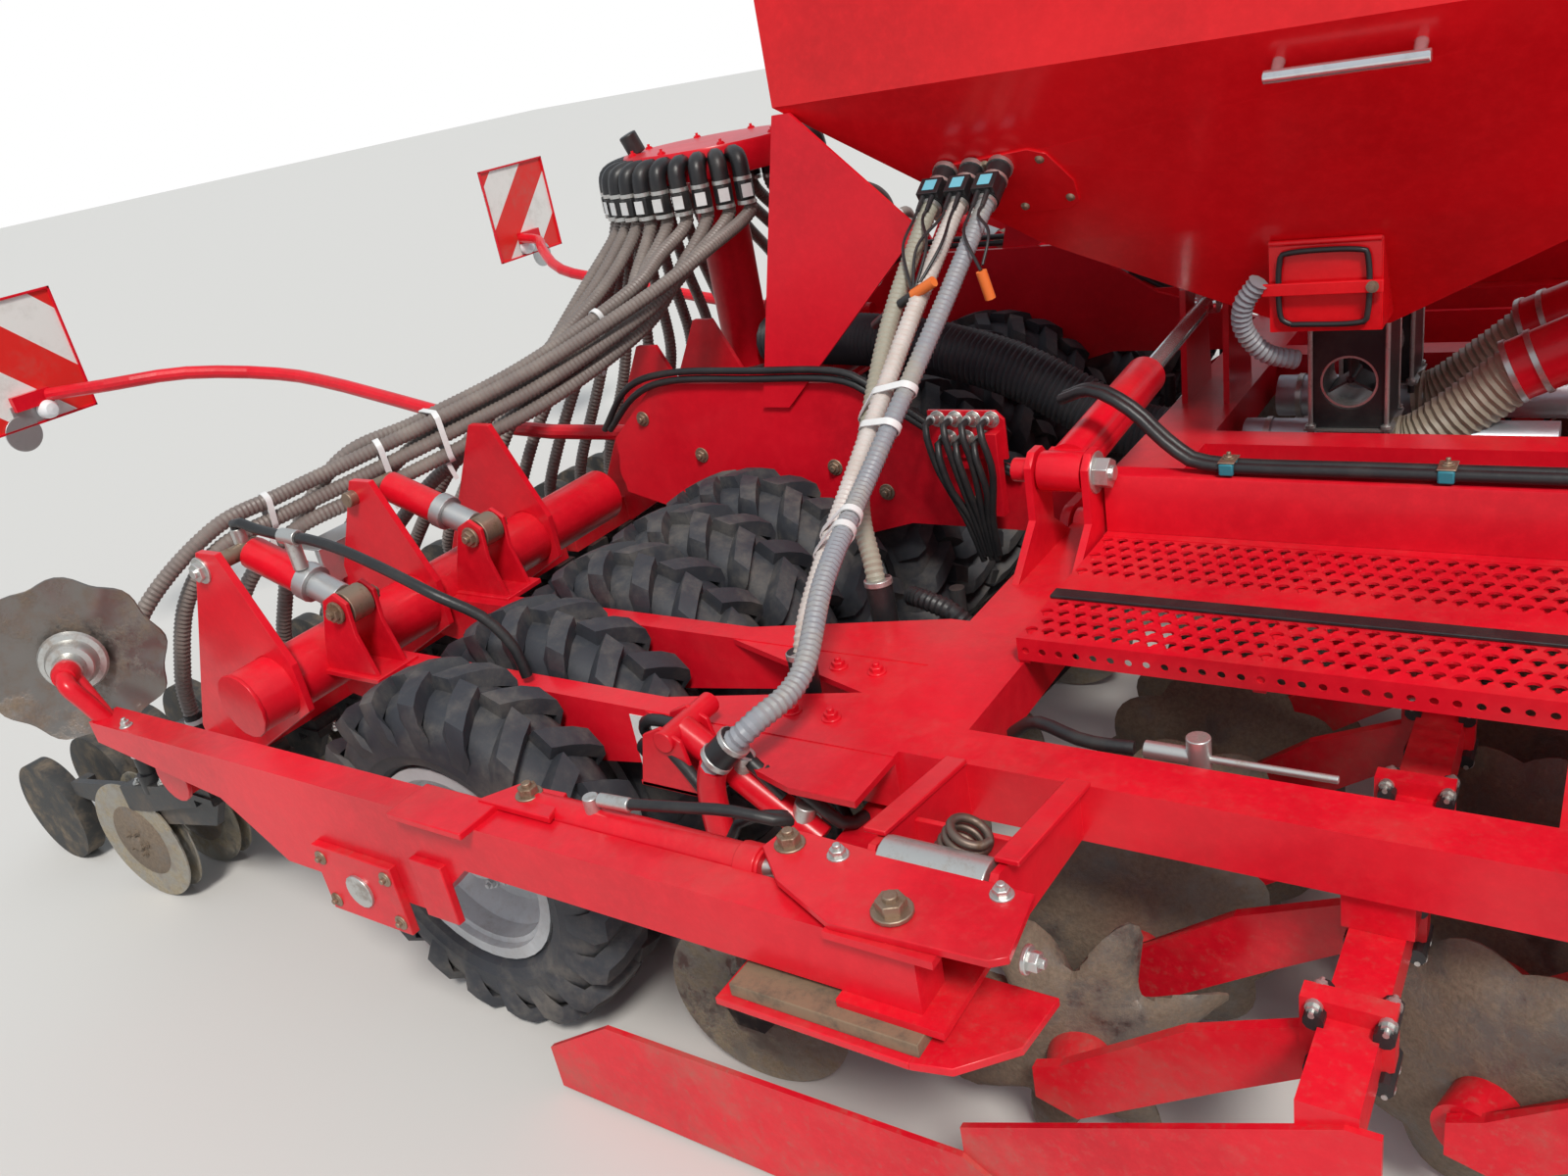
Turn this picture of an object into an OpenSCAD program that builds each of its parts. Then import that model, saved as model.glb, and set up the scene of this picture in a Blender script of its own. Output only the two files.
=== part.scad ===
/* [Frame] */
// Height of the frame's top face above the ground
frame_top = 700; // [640:5:760]
// Height of the frame's box beams
beam_h = 100; // [80:5:140]
// Width of the lateral beams, front to back
beam_w = 160; // [120:5:200]
// Width of the longitudinal beams
side_beam_w = 90; // [60:5:120]
// Place of the rear lateral beam's middle, front to back
rear_beam_x = -260; // [-320:5:-200]
// Place of the front lateral beam's middle
front_beam_x = 700; // [600:5:800]
// Front end of the longitudinal beams
beam_front_x = 1060; // [1030:5:1150]
// Half of the frame's width, out to the outer beams
frame_half_w = 1800; // [1700:5:1900]
// Outer face of the centre frame's side plates
plate_y = 735; // [720:1:740]
// Thickness of the centre frame's side plates
plate_t = 20; // [12:1:30]

/* [Wing hinge] */
// Distance of the wing's hinge from the middle of the machine
hinge_y = 860; // [850:5:900]
// How far the hinge lies below the frame's top
hinge_drop = 20; // [10:1:30]
// Diameter of the hinge pins
hinge_pin_d = 40; // [30:1:50]
// Radius of the centre frame's hinge ears
hinge_ear_r = 45; // [40:1:50]
// Thickness of a hinge ear
hinge_ear_t = 20; // [15:1:25]
// Length of the wing's hinge barrel
hinge_barrel_len = 116; // [90:1:120]
// Radius of the wing's hinge barrel
hinge_barrel_r = 40; // [35:1:43]
// Distance from the hinge to the end of each beam that meets it
hinge_reach = 60; // [55:1:80]

/* [Fold cylinder] */
// Distance of the wing's cylinder pin from the middle of the machine
ram_wing_y = 1050; // [1030:5:1080]
// Height of the wing's cylinder pin
ram_wing_z = 880; // [860:5:900]
// Distance of the rod's eye from the middle of the machine
ram_eye_y = 50; // [45:1:60]
// Height of the rod's eye
ram_eye_z = 950; // [940:1:960]
// Diameter of the barrel
ram_barrel_d = 90; // [70:1:95]
// Length of the barrel from its pin to its gland
ram_barrel_len = 500; // [480:5:510]
// Diameter of the rod
ram_rod_d = 40; // [30:1:50]
// Length of rod that stays in the barrel when it is run out
ram_hold = 35; // [30:1:40]
// Half of the gap between the ears that hold a cylinder
ram_ear_gap = 50; // [48:1:60]

/* [Packer] */
// Outer diameter of a tyre, out to the tips of its lugs
tyre_d = 780; // [740:5:800]
// Width of a tyre
tyre_w = 205; // [190:1:205]
// Number of bars round a tyre
lug_count = 11; // [9:1:11]
// Height of a bar
lug_h = 30; // [20:1:36]
// Outer diameter of a rim
rim_d = 450; // [420:5:470]
// Width of a rim
rim_w = 156; // [140:1:165]
// Place of the packer's axle, front to back
axle_x = -1170; // [-1200:5:-1150]
// Diameter of the packer's axle
axle_d = 70; // [50:1:80]
// Width of a packer arm that runs between two tyres
arm_w = 50; // [30:1:56]
// Place of the rear tube's middle
rear_tube_x = -1660; // [-1700:5:-1640]
// Height of the rear tube's middle
rear_tube_z = 700; // [680:5:710]
// Diameter of the rear tube
rear_tube_d = 140; // [100:5:150]
// Outer end of a wing's rear tube
rear_tube_end = 2050; // [2000:5:2080]

/* [Disc harrow] */
// Diameter of a harrow disc
disc_d = 480; // [420:5:490]
// Thickness of a harrow disc
disc_t = 6; // [4:1:8]
// Hollow of a harrow disc
disc_hollow = 48; // [30:1:60]
// Number of lobes round a harrow disc
disc_lobes = 10; // [8:1:12]
// Depth of the notch between two lobes
disc_notch = 26; // [15:1:32]
// Angle of a disc to the direction of travel
disc_angle = 16; // [10:1:20]
// Place of the rear row's tube
rear_row_x = 430; // [400:5:450]
// Place of the front row's tube
front_row_x = 970; // [940:5:1000]
// Height of the row tubes
row_z = 500; // [490:5:520]
// Side of the square row tubes
row_tube = 70; // [50:1:80]
// Distance between the discs of a row
disc_step = 250; // [245:1:250]
// How far a disc's hub trails behind its row tube
disc_trail = 400; // [380:5:410]
// Outer end of the rear row tube, where the side guard hangs
guard_y = 2100; // [2080:5:2110]

/* [Coulters] */
// Distance between the seed coulters
coulter_step = 150; // [145:1:150]
// Place of the coulter bar
coulter_bar_x = -2000; // [-2020:5:-1980]
// Height of the coulter bar's middle
coulter_bar_z = 480; // [460:5:500]
// Side of the square coulter bar
coulter_bar = 80; // [60:1:90]
// Place of the seed discs' axles
seed_disc_x = -2420; // [-2450:5:-2400]
// Diameter of the seed discs
seed_disc_d = 340; // [320:5:350]
// Place of the press wheels' axle
press_x = -2900; // [-2940:5:-2880]
// Diameter of a press wheel
press_d = 300; // [280:5:320]
// Width of a press wheel
press_w = 50; // [40:1:60]
// Place of the fertiliser coulters' axles
fert_x = -560; // [-570:5:-540]
// Diameter of the fertiliser discs
fert_disc_d = 360; // [340:5:380]
// Distance between the fertiliser coulters
fert_step = 300; // [295:1:300]

// Outer end of a wing's coulter bar
coulter_bar_end = 2090; // [2050:5:2150]
// Thickness of the plates that hold the coulter bar
coulter_plate_t = 16; // [10:1:25]
// Height of the top of those plates
coulter_plate_top = 1000; // [900:10:1010]

/* [Marker] */
// Place of the marker's upright bolt, front to back
marker_x = -60; // [-70:1:-50]
// Distance of the marker's upright bolt from the middle of the machine
marker_y = 2180; // [2170:5:2200]
// Distance of the marker head's tilting pin from the middle of the machine
tilt_y = 2060; // [2040:5:2070]
// Length of the marker arm
marker_len = 1920; // [1850:5:1950]
// Height of the marker arm's box at its root
marker_h = 100; // [80:1:110]
// Width of the marker arm's box
marker_w = 64; // [50:1:66]
// Diameter of the marker disc
marker_disc_d = 380; // [340:5:400]

/* [Hopper] */
// Rear wall of the hopper
hopper_rear_x = -1000; // [-1010:5:-960]
// Front wall of the hopper
hopper_front_x = 1100; // [1050:5:1200]
// Half of the hopper's width
hopper_half_w = 745; // [700:5:750]
// Height of the line where the hopper starts to narrow
hopper_fold_z = 1600; // [1580:5:1650]
// Height of the hopper's top
hopper_top_z = 2350; // [2250:5:2400]
// Height of the lower fold line
funnel_top_z = 1215; // [1205:5:1230]
// Height of the funnel's outlet
funnel_low_z = 955; // [950:1:970]
// Half of the funnel's width at the lower fold line
funnel_half_w = 500; // [480:5:520]
// Wall thickness of the hopper
hopper_t = 5; // [4:1:8]
// Half of the width of the filling opening
fill_half_w = 600; // [500:5:640]
// Thickness of the lid
lid_t = 6; // [4:1:10]

/* [Seed and air] */
// Side of a metering box, front to back
meter_w = 170; // [150:1:180]
// Place of the metering boxes
meter_x = 100; // [90:1:110]
// Height of the bottom of the metering boxes
meter_low_z = 680; // [670:5:700]
// Diameter of the round opening in a metering box
meter_hole_d = 126; // [110:1:130]
// Diameter of the air tube below the metering
venturi_d = 110; // [90:1:120]
// Place of the distributor's riser
tower_x = -1750; // [-1780:5:-1740]
// Height of the distributor head's middle
tower_z = 1460; // [1440:5:1480]
// Radius of the distributor head
tower_r = 300; // [260:5:310]
// Thickness of the distributor head
tower_t = 120; // [90:5:130]
// Diameter of an outlet of the distributor head
outlet_d = 42; // [40:1:46]
// Diameter of a hose
hose_d = 36; // [30:1:38]
// Diameter of the riser
riser_d = 150; // [120:1:160]
// Place of the fan
fan_x = 1560; // [1540:5:1600]
// Height of the fan's shaft
fan_z = 1250; // [1200:5:1300]
// Radius of the fan's housing
fan_r = 300; // [260:5:320]
// Width of the fan's housing
fan_w = 220; // [180:5:240]

/* [Drawbar and boards] */
// Front end of the machine
front_x = 3870; // [3800:5:3900]
// Height of the hitch pins
hitch_z = 560; // [540:5:600]
// Diameter of the hitch pins
hitch_pin_d = 36.6; // [28:0.1:36.6]
// Distance between the shoulders of the hitch pins
hitch_span = 965; // [825:5:1010]
// Place of the jack
jack_x = 2700; // [2500:5:2900]
// Distance of the jack from the middle of the machine
jack_y = 130; // [120:1:140]
// Diameter of the jack's foot
jack_foot_d = 200; // [150:5:240]
// Side of a warning board
board = 423; // [400:1:423]
// Distance of a warning board from the middle of the machine
board_y = 1240; // [1200:5:1300]
// Height of a warning board's middle
board_z = 1200; // [1100:5:1250]
// Rear face of the warning boards
board_x = -3870; // [-3900:5:-3800]

/* [Hidden] */
$fn = 48;
run = 0.3;
pin_run = 0.1;
beam_low = frame_top - beam_h;
hinge_z = frame_top - hinge_drop;
axle_z = tyre_d / 2;
wing_tyres = [1930, 1650, 1370, 1140, 910];
centre_tyres = [-580, -345, -115, 115, 345, 580];
wing_arms = [1790, 1510];
wing_coulters = [for (k = [5:13]) coulter_step * (k + 0.5)];
centre_coulters = [for (k = [-5:4]) coulter_step * (k + 0.5)];
wing_coulter_plates = [1960, 1560, 1180];
centre_coulter_plates = [-500, -220, 220, 500];
wing_fert = [for (k = [3:6]) fert_step * (k + 0.5)];
centre_fert = [for (k = [-2:1]) fert_step * (k + 0.5)];
wing_rear_discs = [for (k = [3:7]) disc_step * (k + 0.5)];
wing_front_discs = [for (k = [4:7]) disc_step * k];
centre_rear_discs = [for (k = [-3:2]) disc_step * (k + 0.5)];
centre_front_discs = [for (k = [-3:3]) disc_step * k];
meter_rows = [-150, 200];
disc_clear = 6;
disc_z = disc_d / 2 + disc_clear;
rail_y = 1000;
rail_top = 870;
grate_in = 1045;
grate_out = 1490;
grate_z = 750;
ram_dy = ram_wing_y - ram_eye_y;
ram_dz = ram_eye_z - ram_wing_z;
ram_len = sqrt(ram_dy * ram_dy + ram_dz * ram_dz);
ram_tilt = atan2(ram_dz, ram_dy);
marker_top = 720;
marker_plate_t = 12;
seed_disc_gap = 26;
seed_disc_lean = 4;
ground_clear = 4;
seed_disc_z = seed_disc_d / 2 + ground_clear;
fert_disc_z = fert_disc_d / 2 + ground_clear;
fert_lean = 5;
fert_bar = 60;
fert_bar_x = rear_beam_x - beam_w / 2 + fert_bar / 2;
fert_bar_z = beam_low - 50;
leg_t = 10;
leg_slope = (hopper_half_w - funnel_half_w) / (hopper_fold_z - funnel_top_z);
leg_top = hopper_fold_z - (leg_t + run) / leg_slope;
base_t = 14;
hitch_swivel_x = front_x - 300;
door_y = 475;
door_top_z = 1173;
hinge_r = 6;
lid_hinge_r = 8;
funnel_rear_x = -500;
funnel_front_x = 650;
outlet_rear_x = 0;
outlet_front_x = 200;
outlet_half_w = 320;
outlet_r = tower_r + outlet_d / 2 + 9;
outlet_z = tower_z - 90;
hose_drop = 70;
seed_inlet_x = seed_disc_x + 150;
seed_inlet_z = coulter_bar_z - 50;
fert_inlet_x = fert_x + 30;
fert_inlet_z = beam_low;
tap_d = 48;
tap_len = 90;
tap_low = 196;
hopper_rise = [0, hopper_half_w - funnel_half_w, hopper_fold_z - funnel_top_z];
hopper_out = [0, hopper_rise[2], -hopper_rise[1]] / norm(hopper_rise);
arm_tube_d = 44;
light_way = [[rear_tube_x, -660, 792], [-2200, -700, 815], [-2900, -700, 945],
             [-3200, -730, 1000], [-3450, -900, 1060], [-3640, -1080, 1075],
             [board_x + 27, 60 - board_y, 1075]];

// Outlet angles of the seed hoses, outermost coulter last for a wing and first for the centre
wing_outlets = [for (j = [0:8]) 126 - 10.75 * j];
centre_outlets = [for (j = [0:4]) 142 + 8.5 * j];
// Where the three hoses next to the frame run
near_ways = [[[-1985, -450, 1150], [-2030, -650, 985], [-2120, -785, 800]],
             [[-1915, -480, 1160], [-1965, -720, 1010], [-2070, -900, 830]],
             [[-1850, -500, 1170], [-1905, -780, 1035], [-2030, -1030, 855]]];
// Where the other hoses run in two columns of three: out, x of the front column, gap between
// the columns, spread of a column, height of the lowest hose, rise from hose to hose
bundle_ways = [[450, -1548, 156, 52, 1195, 25], [640, -1575, 92, 30, 1090, 47],
               [960, -1700, 54, 0, 990, 47], [1220, -1860, 54, 0, 925, 47],
               [1400, -1960, 54, 0, 890, 47], [1580, -2030, 54, 0, 865, 47],
               [1760, -2065, 54, 0, 845, 47]];
// Hoses from the hopper's slope to the fertiliser coulters: place of the tap, then its way
fert_ways = [[-520, [[-525, -1000, 1170], [-545, -1300, 965], [-480, -1600, 890],
                     [-420, -1800, 815], [-440, -1920, 790], [-505, -1950, 730]]],
             [-585, [[-588, -1000, 1165], [-590, -1290, 950], [-560, -1480, 860],
                     [-532, -1620, 780]]],
             [-650, [[-645, -1000, 1140], [-610, -1240, 905], [-550, -1335, 780]]]];

paint = "red";
black = "dimgray";
steel = "silver";

// Basic shapes, placed by their limits in the machine's own frame

module block(x, y, z) {
    translate([x[0], y[0], z[0]])
        cube([x[1] - x[0], y[1] - y[0], z[1] - z[0]]);
}

module bar_x(d, x, y, z) {
    translate([x[0], y, z])
        rotate([0, 90, 0])
            cylinder(d = d, h = x[1] - x[0]);
}

module bar_y(d, x, y, z) {
    translate([x, y[0], z])
        rotate([-90, 0, 0])
            cylinder(d = d, h = y[1] - y[0]);
}

module bar_z(d, x, y, z) {
    translate([x, y, z[0]])
        cylinder(d = d, h = z[1] - z[0]);
}

// A plate with an outline of x and z points, between two values of y
module plate_xz(points, y) {
    translate([0, y[1], 0])
        rotate([90, 0, 0])
            linear_extrude(y[1] - y[0])
                polygon(points);
}

// A plate with an outline of y and z points, between two values of x
module plate_yz(points, x) {
    translate([x[0], 0, 0])
        rotate([90, 0, 90])
            linear_extrude(x[1] - x[0])
                polygon(points);
}

module rod_between(d, a, b) {
    v = b - a;
    reach = norm(v);
    translate(a)
        rotate([0, acos(v[2] / reach), atan2(v[1], v[0])])
            cylinder(d = d, h = reach);
}

// Everything on a wing is drawn for the right side, where y is negative
module left() {
    mirror([0, 1, 0]) children();
}

// A bent tube: points on a smooth curve through its way, and a ring of corners at each

function unit(v) = v / norm(v);

function curve_at(a, b, c, d, t) =
    0.5 * (2 * b + (c - a) * t + (2 * a - 5 * b + 4 * c - d) * t * t
           + (3 * b - a - 3 * c + d) * t * t * t);

function curve(way, steps) =
    let (end = len(way) - 1,
         p = concat([2 * way[0] - way[1]], way, [2 * way[end] - way[end - 1]]))
    concat([for (i = [0:end - 1]) for (k = [0:steps - 1])
                curve_at(p[i], p[i + 1], p[i + 2], p[i + 3], k / steps)],
           [way[end]]);

// The direction in which a ring's first corner lies turns as little as the tube lets it
function carry(side, run) = unit(side - (side * run) * run);

module tube(way, d, steps = 2, sides = 8) {
    end = len(way) - 1;
    line = curve(way, steps);
    last = len(line) - 1;
    runs = [for (i = [0:last])
                unit(i == 0 ? way[1] - way[0]
                     : i == last ? way[end] - way[end - 1] : line[i + 1] - line[i - 1])];
    sides_to = [for (i = 0, v = unit(cross(runs[0], [0.2, 1, 0.1])); i <= last;
                     i = i + 1, v = i <= last ? carry(v, runs[i]) : v) v];
    polyhedron(
        points = [for (i = [0:last]) for (k = [0:sides - 1])
                      line[i] + d / 2 * (cos(360 * k / sides) * sides_to[i]
                                         + sin(360 * k / sides) * cross(runs[i], sides_to[i]))],
        faces = concat(
            [[for (k = [0:sides - 1]) k]],
            [[for (k = [sides - 1:-1:0]) last * sides + k]],
            [for (i = [0:last - 1]) for (k = [0:sides - 1])
                 [i * sides + k, (i + 1) * sides + k, (i + 1) * sides + (k + 1) % sides]],
            [for (i = [0:last - 1]) for (k = [0:sides - 1])
                 [i * sides + k, (i + 1) * sides + (k + 1) % sides, i * sides + (k + 1) % sides]]));
}

// Packer

// Four corners for each bar: its two feet and the two edges of its top, whose flat is the
// tyre's outer size
function tread_ring(y, r, depth, turn) =
    let (pitch = 360 / lug_count)
    [for (i = [0:lug_count - 1])
         for (edge = [[-0.16, depth], [-0.1, 0], [0.1, 0], [0.16, depth]])
             let (a = 180 + pitch * (i + turn + edge[0]), reach = r - edge[1])
             [reach * sin(a), y, reach * cos(a)]];

function bead_ring(y, r, turn) =
    let (pitch = 360 / lug_count)
    [for (i = [0:2 * lug_count - 1])
         let (a = 180 + pitch * (i / 2 - 0.25 + turn))
         [r * sin(a), y, r * cos(a)]];

// Rings from bead to bead: the bars meet in the middle and slant forward to the shoulders
module tyre(y) {
    half = tyre_w / 2;
    top = tyre_d / 2 / cos(36 / lug_count);
    seat = (rim_d / 2 + run) / cos(90 / lug_count);
    slant = 0.38;
    n = 4 * lug_count;
    m = 2 * lug_count;
    starts = [0, m, m + n, m + 2 * n, m + 3 * n];
    points = concat(bead_ring(32 - half, seat, slant), tread_ring(-half, top - 30, 20, slant),
                    tread_ring(0, top, lug_h, 0), tread_ring(half, top - 30, 20, slant),
                    bead_ring(half - 32, seat, slant));
    faces = concat(
        [for (i = [0:m - 1]) let (a = i, b = (i + 1) % m, c = starts[1] + 2 * i)
             for (f = [[a, c, c + 1], [a, c + 1, starts[1] + (2 * i + 2) % n],
                       [a, starts[1] + (2 * i + 2) % n, b]]) f],
        [for (ring = [1, 2]) for (i = [0:n - 1])
             let (a = starts[ring] + i, b = starts[ring] + (i + 1) % n,
                  c = starts[ring + 1] + (i + 1) % n, d = starts[ring + 1] + i)
             for (f = [[a, d, c], [a, c, b]]) f],
        [for (i = [0:m - 1]) let (a = starts[3] + 2 * i, b = starts[3] + (2 * i + 2) % n,
                                  c = starts[4] + (i + 1) % m, d = starts[4] + i)
             for (f = [[a, d, a + 1], [a + 1, d, b], [b, d, c]]) f],
        [for (i = [0:m - 1]) let (a = starts[4] + i, b = starts[4] + (i + 1) % m,
                                  c = (i + 1) % m, d = i)
             for (f = [[a, d, c], [a, c, b]]) f]);
    translate([axle_x, y, axle_z])
        polyhedron(points = points, faces = faces);
}

module rim(y) {
    translate([axle_x, y, axle_z])
        rotate([90, 0, 0])
            union() {
                rotate_extrude($fn = 64)
                    translate([rim_d / 2 - 18, -rim_w / 2])
                        square([18, rim_w]);
                translate([0, 0, -30])
                    cylinder(d = rim_d - 20, h = 8);
                translate([0, 0, -50])
                    cylinder(r = 75, h = 100);
            }
}

module axle(y) {
    bar_y(axle_d, axle_x, y, axle_z);
}

module wing_rims() {
    color(steel) {
        for (y = wing_tyres) rim(-y);
        axle([-wing_tyres[0] - 60, -wing_tyres[4] + 60]);
    }
}

module wing_tyres() {
    color("black")
        for (y = wing_tyres) tyre(-y);
}

module rims_centre() {
    color(steel) {
        for (y = centre_tyres) rim(y);
        axle([-plate_y, plate_y]);
    }
}

module tyres_centre() {
    color("black")
        for (y = centre_tyres) tyre(y);
}

// Bearing bosses round the axle are cut after everything else is joined
module axle_bore(y) {
    bar_y(axle_d + 2 * pin_run, axle_x, y, axle_z);
}

// Disc harrow

// A dished disc with lobes, as a lower and an upper skin of a middle and two rings
module disc(x, y, angle) {
    r = disc_d / 2;
    ball = (r * r + disc_hollow * disc_hollow) / (2 * disc_hollow);
    pitch = 360 / disc_lobes;
    n = disc_lobes;
    flat = concat([[0, 0]],
                  [for (i = [0:n - 1]) 0.55 * r * [cos(pitch * i), sin(pitch * i)]],
                  [for (i = [0:2 * n - 1]) (i % 2 == 0 ? r : r - disc_notch)
                                           * [cos(pitch * i / 2), sin(pitch * i / 2)]]);
    up = len(flat);
    skin = concat([for (i = [0:n - 1]) [0, 1 + i, 1 + (i + 1) % n]],
                  [for (i = [0:n - 1])
                       let (a = 1 + i, b = 1 + n + 2 * i, c = 1 + n + (2 * i + 2) % (2 * n))
                       for (f = [[a, b, b + 1], [a, b + 1, c], [a, c, 1 + (i + 1) % n]]) f]);
    translate([x, y, disc_z])
        rotate([0, 0, angle])
            rotate([-90, 0, 0])
                polyhedron(
                    points = [for (high = [0, disc_t]) for (p = flat)
                                  [p[0], p[1], ball - sqrt(ball * ball - p * p) + high]],
                    faces = concat(
                        skin,
                        [for (f = skin) [f[0] + up, f[2] + up, f[1] + up]],
                        [for (i = [0:2 * n - 1])
                             let (a = 1 + n + i, b = 1 + n + (i + 1) % (2 * n))
                             for (f = [[a, a + up, b + up], [a, b + up, b]]) f]));
}

module disc_arm(x, y, angle) {
    hub = 66;
    rise = row_z - disc_z;
    out = hub + 4;
    translate([x, y, disc_z])
        rotate([0, 0, angle])
            bar_y(100, 0, [-hub, -run], 0);
    translate([x, y, disc_z])
        plate_xz([[-45, -30], [20, -50], [240, rise * 0.4], [disc_trail - 20, rise - 60],
                  [disc_trail - 20, rise + 20], [190, rise * 0.75], [0, 50], [-45, 30]],
                 [-out - 8, -out + 10]);
    translate([x + disc_trail, 0, row_z])
        plate_xz([[-60, -60], [-60, 60], [50, 60], [50, -25], [-5, -60]],
                 [y - out - 14, y - out + 16]);
}

module row_tube(x, y) {
    block([x - row_tube / 2, x + row_tube / 2], y, [row_z - row_tube / 2, row_z + row_tube / 2]);
}

module hanger(x, y) {
    block([x - 45, x + 45], y, [row_z + row_tube / 2 + run, beam_low + 2]);
}

module discs(rear, front) {
    color(steel) {
        for (y = rear) disc(rear_row_x - disc_trail, y, disc_angle);
        for (y = front) disc(front_row_x - disc_trail, y, -disc_angle);
    }
}

module disc_arms(rear, front) {
    for (y = rear) disc_arm(rear_row_x - disc_trail, y, disc_angle);
    for (y = front) disc_arm(front_row_x - disc_trail, y, -disc_angle);
}

module wing_disc_arms() {
    color(paint) {
        disc_arms(-wing_rear_discs, -wing_front_discs);
        row_tube(rear_row_x, [-guard_y, -hinge_y - 30]);
        row_tube(front_row_x, [-frame_half_w - 40, -hinge_y - 30]);
        plate_xz([[-60, 130], [-60, 290], [rear_row_x + 20, 520], [rear_row_x + 60, 520],
                  [rear_row_x + 60, 360]], [-guard_y - 8, -guard_y + 2]);
        plate_xz([[-930, 12], [-930, 110], [-760, 220], [-60, 240], [0, 200], [0, 12]],
                 [-guard_y - 16, -guard_y - 6]);
    }
}

module disc_arms_centre() {
    color(paint) {
        disc_arms(centre_rear_discs, centre_front_discs);
        row_tube(rear_row_x, [-hinge_y + 40, hinge_y - 40]);
        row_tube(front_row_x, [-hinge_y + 40, hinge_y - 40]);
    }
}

// Coulters

module seed_arm(y) {
    fork = press_x + press_d / 2;
    block([coulter_bar_x - 55, coulter_bar_x + 55], [y - 35, y + 35],
          [coulter_bar_z - 90, coulter_bar_z - coulter_bar / 2 - run]);
    plate_xz([[coulter_bar_x + 40, 400], [coulter_bar_x - 30, 300], [seed_disc_x + 60, 230],
              [seed_disc_x + 20, 150], [seed_disc_x - 20, 150], [seed_disc_x - 60, 230],
              [fork + 15, 235], [fork + 15, 275], [seed_disc_x, 330],
              [coulter_bar_x - 60, 410], [coulter_bar_x + 40, 420]],
             [y - 10, y + 10]);
    block([fork + 15, fork + 50], [y - 10, y + press_w / 2 + 16], [235, 275]);
    plate_xz([[press_x - 25, press_d / 2 - 25], [press_x + 25, press_d / 2 - 25],
              [fork + 50, 235], [fork + 50, 275], [fork + 15, 275],
              [press_x - 20, press_d / 2 + 30]],
             [y + press_w / 2 + 6, y + press_w / 2 + 16]);
    bar_z(outlet_d, seed_inlet_x, y, [seed_inlet_z - 100, seed_inlet_z]);
    for (s = [-1, 1])
        translate([seed_disc_x, y + s * seed_disc_gap, seed_disc_z])
            rotate([0, 0, -s * seed_disc_lean])
                bar_y(50, 0, s < 0 ? [2 + run, seed_disc_gap - 6]
                                   : [6 - seed_disc_gap, -2 - run], 0);
}

module seed_discs(y) {
    for (s = [-1, 1])
        translate([seed_disc_x, y + s * seed_disc_gap, seed_disc_z])
            rotate([0, 0, -s * seed_disc_lean])
                bar_y(seed_disc_d, 0, [-2, 2], 0);
}

module press_wheel(y) {
    bar_y(press_d, press_x, [y - press_w / 2, y + press_w / 2], press_d / 2);
    bar_y(50, press_x, [y, y + press_w / 2 + 6 - run], press_d / 2);
}

module fert_arm(y) {
    top = fert_bar_z - fert_bar / 2 - run;
    plate_xz([[fert_bar_x + 35, top - 70], [fert_bar_x + 35, top], [fert_bar_x - 35, top],
              [fert_x - 60, fert_disc_z + 30], [fert_x - 30, fert_disc_z - 30],
              [fert_x + 30, fert_disc_z - 30]],
             [y - 12, y + 12]);
    bar_z(hose_d - 2, fert_inlet_x, y, [fert_inlet_z - 300, fert_inlet_z]);
    translate([fert_x, y + 24, fert_disc_z])
        rotate([0, 0, fert_lean])
            bar_y(60, 0, [-24, -3 - run], 0);
}

module fert_disc(y) {
    translate([fert_x, y + 24, fert_disc_z])
        rotate([0, 0, fert_lean])
            bar_y(fert_disc_d, 0, [-3, 3], 0);
}

// Bar of the fertiliser coulters, hung below the rear lateral beam
module fert_carrier(y, hangers) {
    half = fert_bar / 2;
    block([fert_bar_x - half, fert_bar_x + half], y, [fert_bar_z - half, fert_bar_z + half]);
    for (h = hangers)
        block([fert_bar_x - half, fert_bar_x + half], [h - 20, h + 20],
              [fert_bar_z, beam_low + 2]);
}

module coulter_arms(seed, fert) {
    color(black) {
        for (y = seed) seed_arm(y);
        for (y = fert) fert_arm(y);
    }
}

module coulter_discs(seed, fert) {
    color(steel) {
        for (y = seed) seed_discs(y);
        for (y = fert) fert_disc(y);
    }
}

module press_wheels(seed) {
    color(black)
        for (y = seed) press_wheel(y);
}

// Bar of the seed coulters with the plates that clamp it to the rear tube
module coulter_frame(y, plates) {
    low = coulter_bar_z - coulter_bar / 2;
    half = coulter_plate_t / 2;
    color(paint)
        difference() {
            union() {
                block([coulter_bar_x - coulter_bar / 2, coulter_bar_x + coulter_bar / 2], y,
                      [low, low + coulter_bar]);
                for (p = plates)
                    plate_xz([[rear_tube_x + 85, rear_tube_z - 50],
                              [rear_tube_x + 85, rear_tube_z + 60],
                              [rear_tube_x - 40, coulter_plate_top],
                              [rear_tube_x - 110, coulter_plate_top],
                              [coulter_bar_x - 40, coulter_bar_z + 60],
                              [coulter_bar_x - 40, low], [coulter_bar_x + 50, low]],
                             [p - half, p + half]);
            }
            bar_y(rear_tube_d + 2 * pin_run, rear_tube_x, [y[0] - 1, y[1] + 1], rear_tube_z);
        }
}

module wing_coulter_frame() {
    coulter_frame([-coulter_bar_end, -hinge_y + 60], -wing_coulter_plates);
}

// Wing frame

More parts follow.
